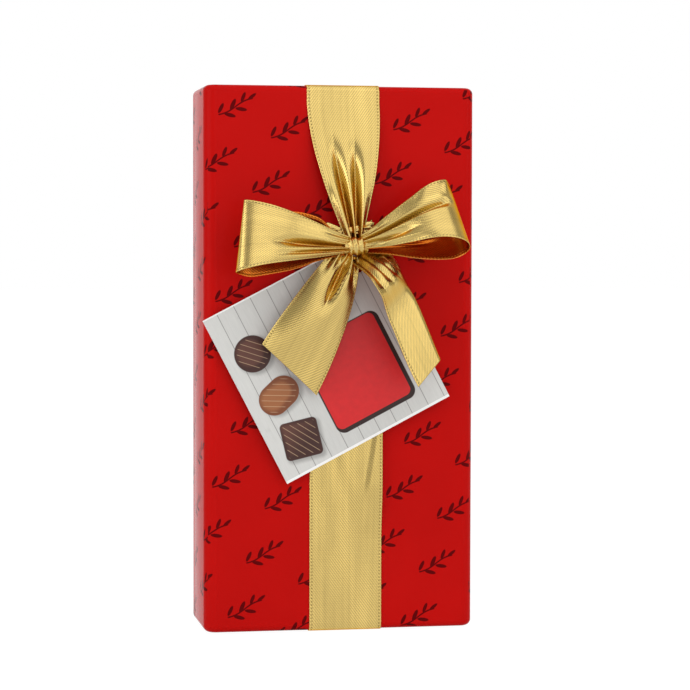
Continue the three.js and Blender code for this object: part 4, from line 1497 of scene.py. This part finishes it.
def make_bow(scene):
    ribbon = scene.chocolate_ribbon
    make_knot(ribbon)
    loops = {
        "left": bow_loop(scene.chocolate_left_loop, -1, ribbon, left_folds),
        "right": bow_loop(scene.chocolate_right_loop, 1, ribbon, right_folds),
    }
    tails = {
        "left": bow_tail(scene.chocolate_left_tail, LEFT_TAIL_GUIDES, ribbon, left_tail_folds),
        "right": bow_tail(scene.chocolate_right_tail, RIGHT_TAIL_GUIDES, ribbon, right_tail_folds),
    }
    for side, point in loops.items():
        ribbon_sheet(
            f"loop_{side}", "lid", f"bow_loop_{side}", LOOP_MESH, point, ribbon,
            0.25,
        )
    for side, point in tails.items():
        ribbon_sheet(
            f"tail_{side}", f"{side}_tail", f"bow_tail_{side}", TAIL_MESH, point, ribbon,
            0.9,
        )


# Tag

def make_tag(tag):
    back = node_box("tag_back_leaf")[1].y
    low, high = node_box("tag_front_leaf")
    c, s = math.cos(tag.turned), math.sin(tag.turned)
    hole = Vector((
        high.x - tag.hole_inset * c - (tag.width - tag.hole_inset) * s,
        0,
        high.z - tag.hole_inset * (c + s),
    ))
    dress("tag_front_leaf", shared_look("printed_card", tag_card, tag, hole, low.y))
    bare = shared_look("bare_card", tag_card, tag, hole, None)
    dress("tag_back_leaf", bare)
    make_fold(tag, bare, hole, back, low.y)
    make_thread(tag, hole)


FOLD_MESH = (60, 12)
FOLD_CARD = 0.12 * MM


def make_fold(tag, look, hole, back, front):
    """The rounded fold that joins the two leaves."""
    fold_way = Vector((math.cos(tag.turned), 0, math.sin(tag.turned)))
    up_way = Vector((-fold_way.z, 0, fold_way.x))
    middle = (back + front) / 2
    radius = abs(back - front) / 2
    end = hole + (fold_way + up_way) * tag.hole_inset

    def point(u, side):
        turn = math.pi / 2 * side
        place = end - fold_way * (tag.length * (1 - u)) + up_way * (0.9 * radius * math.cos(turn))
        return Vector((place.x, middle - radius * 0.97 * math.sin(turn), place.z))

    made = piece("tag_fold", grid_sheet(FOLD_MESH, point), None, "tag_card", look)
    thicken(made, FOLD_CARD, 0)
    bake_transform(made)


THREAD_MESH = (60, 24)
# The thread's line from behind the tag to the knot: right of the hole, out from the lid and up, in millimetres
THREAD_LINE = ((0, 1.5, 0), (0, 4.8, 0), (0, 7.2, 0), (-0.5, 8.2, 1.0), (-1.4, 9.3, 3.8))
# From the hole's middle up to the thread
THREAD_UP = 1.3 * MM
THREAD_TWIST = 2.4
# Half sizes of the knot behind the tag, in millimetres
THREAD_KNOT = (2.0, 0.6, 2.0)


def make_thread(tag, hole):
    """Two-ply thread from a knot behind the tag, through its hole and up to the bow's knot."""
    stops = [
        before(hole.x + right * MM, out * MM, hole.z + THREAD_UP + up * MM) for right, out, up in THREAD_LINE
    ]
    radius = tag.thread_width / 2
    length = sum((second - first).length for first, second in zip(stops, stops[1:]))
    right = Vector((1, 0, 0))

    def point(u, side):
        turn = math.pi * side
        ahead = bezier(stops, min(u + 0.01, 1)) - bezier(stops, max(u - 0.01, 0))
        up = right.cross(ahead).normalized()
        twist = turn * 2 + u * length / MM * THREAD_TWIST
        reach = radius * (0.82 + 0.18 * math.cos(twist))
        return bezier(stops, u) + (right * math.cos(turn) + up * math.sin(turn)) * reach

    bm = grid_sheet(THREAD_MESH, point, lambda u, side: ((side + 1) / 2, u * length / MM))
    merge(bm)
    bmesh.ops.holes_fill(bm, edges=open_edges(bm))
    knot = Matrix.Translation(stops[0]) @ Matrix.Diagonal((*THREAD_KNOT, 1))
    for vertex in bmesh.ops.create_icosphere(bm, subdivisions=3, radius=1 * MM, matrix=knot)["verts"]:
        away = vertex.co - stops[0]
        vertex.co += away * 0.16 * math.sin(5 * math.atan2(away.z, away.x) + 900 * away.length)
    bmesh.ops.recalc_face_normals(bm, faces=bm.faces)
    piece("tag_thread", bm, "lid", "gold_cord", shared_look("twisted_thread", gold_thread, tag), "tag_cord")


# Stage

SENSOR = 36
CLIP_START = 0.05
FLOOR_HALF = 6
FLOOR_WHITE = 1.1
LAMP_AIM = Vector((0, 0, 0.1))
# Each lamp's place, the size of its face, and the setting of its brightness
LAMPS = {
    "Front lamp": ((0.4, -1.9, 0.75), (2.5, 2.3), "front_light"),
    "Top lamp": ((0.1, -0.55, 1.9), (2.2, 2.0), "top_light"),
    "Left lamp": ((-1.9, -0.6, 0.6), (1.4, 1.7), "left_light"),
    "Right lamp": ((1.7, -0.9, 0.6), (0.8, 1.5), "right_light"),
}
WHITE = (1, 1, 1, 1)


def make_stage(stage):
    scene = bpy.context.scene
    scene.view_settings.view_transform = "Standard"
    lens = bpy.data.cameras.new("Camera")
    lens.lens = stage.lens
    lens.sensor_width = SENSOR
    lens.clip_start = CLIP_START
    camera = bpy.data.objects.new("Camera", lens)
    camera.location = stage.camera_place
    camera.rotation_euler = stage.camera_turn
    scene.collection.objects.link(camera)
    scene.camera = camera
    make_floor(scene, stage)
    make_lamps(scene, stage)
    make_world(scene, stage)


def make_floor(scene, stage):
    """A pale floor whose own white keeps it bright to the camera, under a soft shadow."""
    bm = bmesh.new()
    bmesh.ops.create_grid(bm, x_segments=1, y_segments=1, size=FLOOR_HALF)
    mesh = bpy.data.meshes.new("Floor")
    bm.to_mesh(mesh)
    bm.free()
    floor = bpy.data.objects.new("Floor", mesh)
    scene.collection.objects.link(floor)
    look = Finish("pale_floor", {"Base Color": (*stage.floor, 1), "Roughness": 0.8, "Specular IOR Level": 0.1})
    ray = look.node("ShaderNodeLightPath", None, None, "Is Camera Ray")
    seen = ray.highest(ray.other("Is Glossy Ray")).highest(ray.other("Is Transmission Ray"))
    glow = look.node("ShaderNodeEmission", None, {"Color": WHITE, "Strength": FLOOR_WHITE})
    sockets = {0: seen * stage.floor_glow, 1: Wire(look, look.shader.outputs[0]), 2: glow}
    mixed = look.node("ShaderNodeMixShader", None, sockets)
    look.plug(look.tree.nodes["Material Output"].inputs["Surface"], mixed)
    mesh.materials.append(look.material)


def make_lamps(scene, stage):
    """Broad soft lamps in front and above, and an upright one at each side."""
    for name, (place, face, setting) in LAMPS.items():
        lamp = bpy.data.lights.new(name, "AREA")
        lamp.shape = "RECTANGLE"
        lamp.size, lamp.size_y = face
        lamp.energy = getattr(stage, setting) * math.pi * face[0] * face[1]
        held = bpy.data.objects.new(name, lamp)
        held.location = place
        held.rotation_euler = (LAMP_AIM - held.location).to_track_quat("-Z", "Y").to_euler()
        scene.collection.objects.link(held)


def make_world(scene, stage):
    """White to the camera; in glossy surfaces white behind the object and grey behind the camera."""
    world = bpy.data.worlds.new("Surround")
    scene.world = world
    world.use_nodes = True
    sky = NodeSheet(world.node_tree)
    ray = sky.node("ShaderNodeLightPath", None, None, "Is Camera Ray")
    way = sky.node("ShaderNodeTexCoord", None, None, "Generated")
    deep = sky.parts(way)[1].ramp(0.05, 0.6)
    back = deep * (stage.back_light - stage.dark_side) + stage.dark_side
    seen = ray.highest(ray.other("Is Transmission Ray"))
    glossy = ray.other("Is Glossy Ray") * (1 - seen)
    matt = 1 - seen.highest(glossy)
    shell = world.node_tree.nodes["Background"]
    sky.plug(shell.inputs["Color"], WHITE)
    sky.plug(shell.inputs["Strength"], seen + glossy * back + matt * stage.surround)


# Operators

class Stage(bpy.types.Operator):
    """Set up the camera, the lamps and the floor"""

    bl_idname = "chocolates.stage"
    bl_label = "Stage"

    def execute(self, context):
        make_stage(context.scene.chocolate_stage)
        return {"FINISHED"}


class LidAndBasePapers(bpy.types.Operator):
    """Wrap the lid and the base in glossy red paper"""

    bl_idname = "chocolates.papers"
    bl_label = "Papers"

    def execute(self, context):
        make_papers(context.scene.chocolate_paper)
        return {"FINISHED"}


class Boards(bpy.types.Operator):
    """Give the boards under the paper their raw greyboard"""

    bl_idname = "chocolates.boards"
    bl_label = "Boards"

    def execute(self, context):
        make_boards(context.scene.chocolate_paper)
        return {"FINISHED"}


class Cushion(bpy.types.Operator):
    """Lay the embossed cushion paper in the lid"""

    bl_idname = "chocolates.cushion"
    bl_label = "Lid cushion"

    def execute(self, context):
        make_cushion(context.scene.chocolate_paper)
        return {"FINISHED"}


class Tray(bpy.types.Operator):
    """Form the tray's pockets"""

    bl_idname = "chocolates.tray"
    bl_label = "Tray"

    def execute(self, context):
        make_tray(context.scene.chocolate_pralines)
        return {"FINISHED"}


class Pralines(bpy.types.Operator):
    """Fill the tray with pralines of four designs"""

    bl_idname = "chocolates.pralines"
    bl_label = "Pralines"

    def execute(self, context):
        make_pralines(context.scene.chocolate_pralines)
        return {"FINISHED"}


class Band(bpy.types.Operator):
    """Lay the ribbon's two runs round the lid and tie them"""

    bl_idname = "chocolates.band"
    bl_label = "Ribbon band"

    def execute(self, context):
        make_band(context.scene.chocolate_ribbon, context.scene.chocolate_paper)
        return {"FINISHED"}


class Bow(bpy.types.Operator):
    """Tie the bow: its knot, two loops and two tails"""

    bl_idname = "chocolates.bow"
    bl_label = "Bow"

    def execute(self, context):
        make_bow(context.scene)
        return {"FINISHED"}


class Tag(bpy.types.Operator):
    """Print the folded tag and hang it on its thread"""

    bl_idname = "chocolates.tag"
    bl_label = "Tag"

    def execute(self, context):
        make_tag(context.scene.chocolate_tag)
        return {"FINISHED"}


OPERATORS = (Stage, LidAndBasePapers, Boards, Cushion, Tray, Pralines, Band, Bow, Tag)
SETTINGS = {
    "chocolate_paper": PaperSettings,
    "chocolate_ribbon": RibbonSettings,
    "chocolate_left_loop": LeftLoop,
    "chocolate_right_loop": RightLoop,
    "chocolate_left_tail": LeftTail,
    "chocolate_right_tail": RightTail,
    "chocolate_tag": TagSettings,
    "chocolate_pralines": ChocolateSettings,
    "chocolate_stage": StageSettings,
}


class ChocolatesPanel(bpy.types.Panel):
    """Lists the steps that dress the box"""

    bl_idname = "VIEW3D_PT_chocolates"
    bl_label = "Box of chocolates"
    bl_space_type = "VIEW_3D"
    bl_region_type = "UI"
    bl_category = "Chocolates"

    def draw(self, context):
        for operator in OPERATORS:
            self.layout.operator(operator.bl_idname)
        for name, kind in SETTINGS.items():
            box = self.layout.box()
            box.label(text=kind.__doc__)
            for field in kind.__annotations__:
                box.prop(getattr(context.scene, name), field)


CLASSES = (*SETTINGS.values(), *OPERATORS, ChocolatesPanel)


def register():
    for kind in CLASSES:
        bpy.utils.register_class(kind)
    for name, kind in SETTINGS.items():
        setattr(bpy.types.Scene, name, PointerProperty(type=kind))


def unregister():
    for name in SETTINGS:
        delattr(bpy.types.Scene, name)
    for kind in reversed(CLASSES):
        bpy.utils.unregister_class(kind)


def main():
    register()
    for operator in OPERATORS:
        group, name = operator.bl_idname.split(".")
        getattr(getattr(bpy.ops, group), name)()


if __name__ == "__main__":
    main()
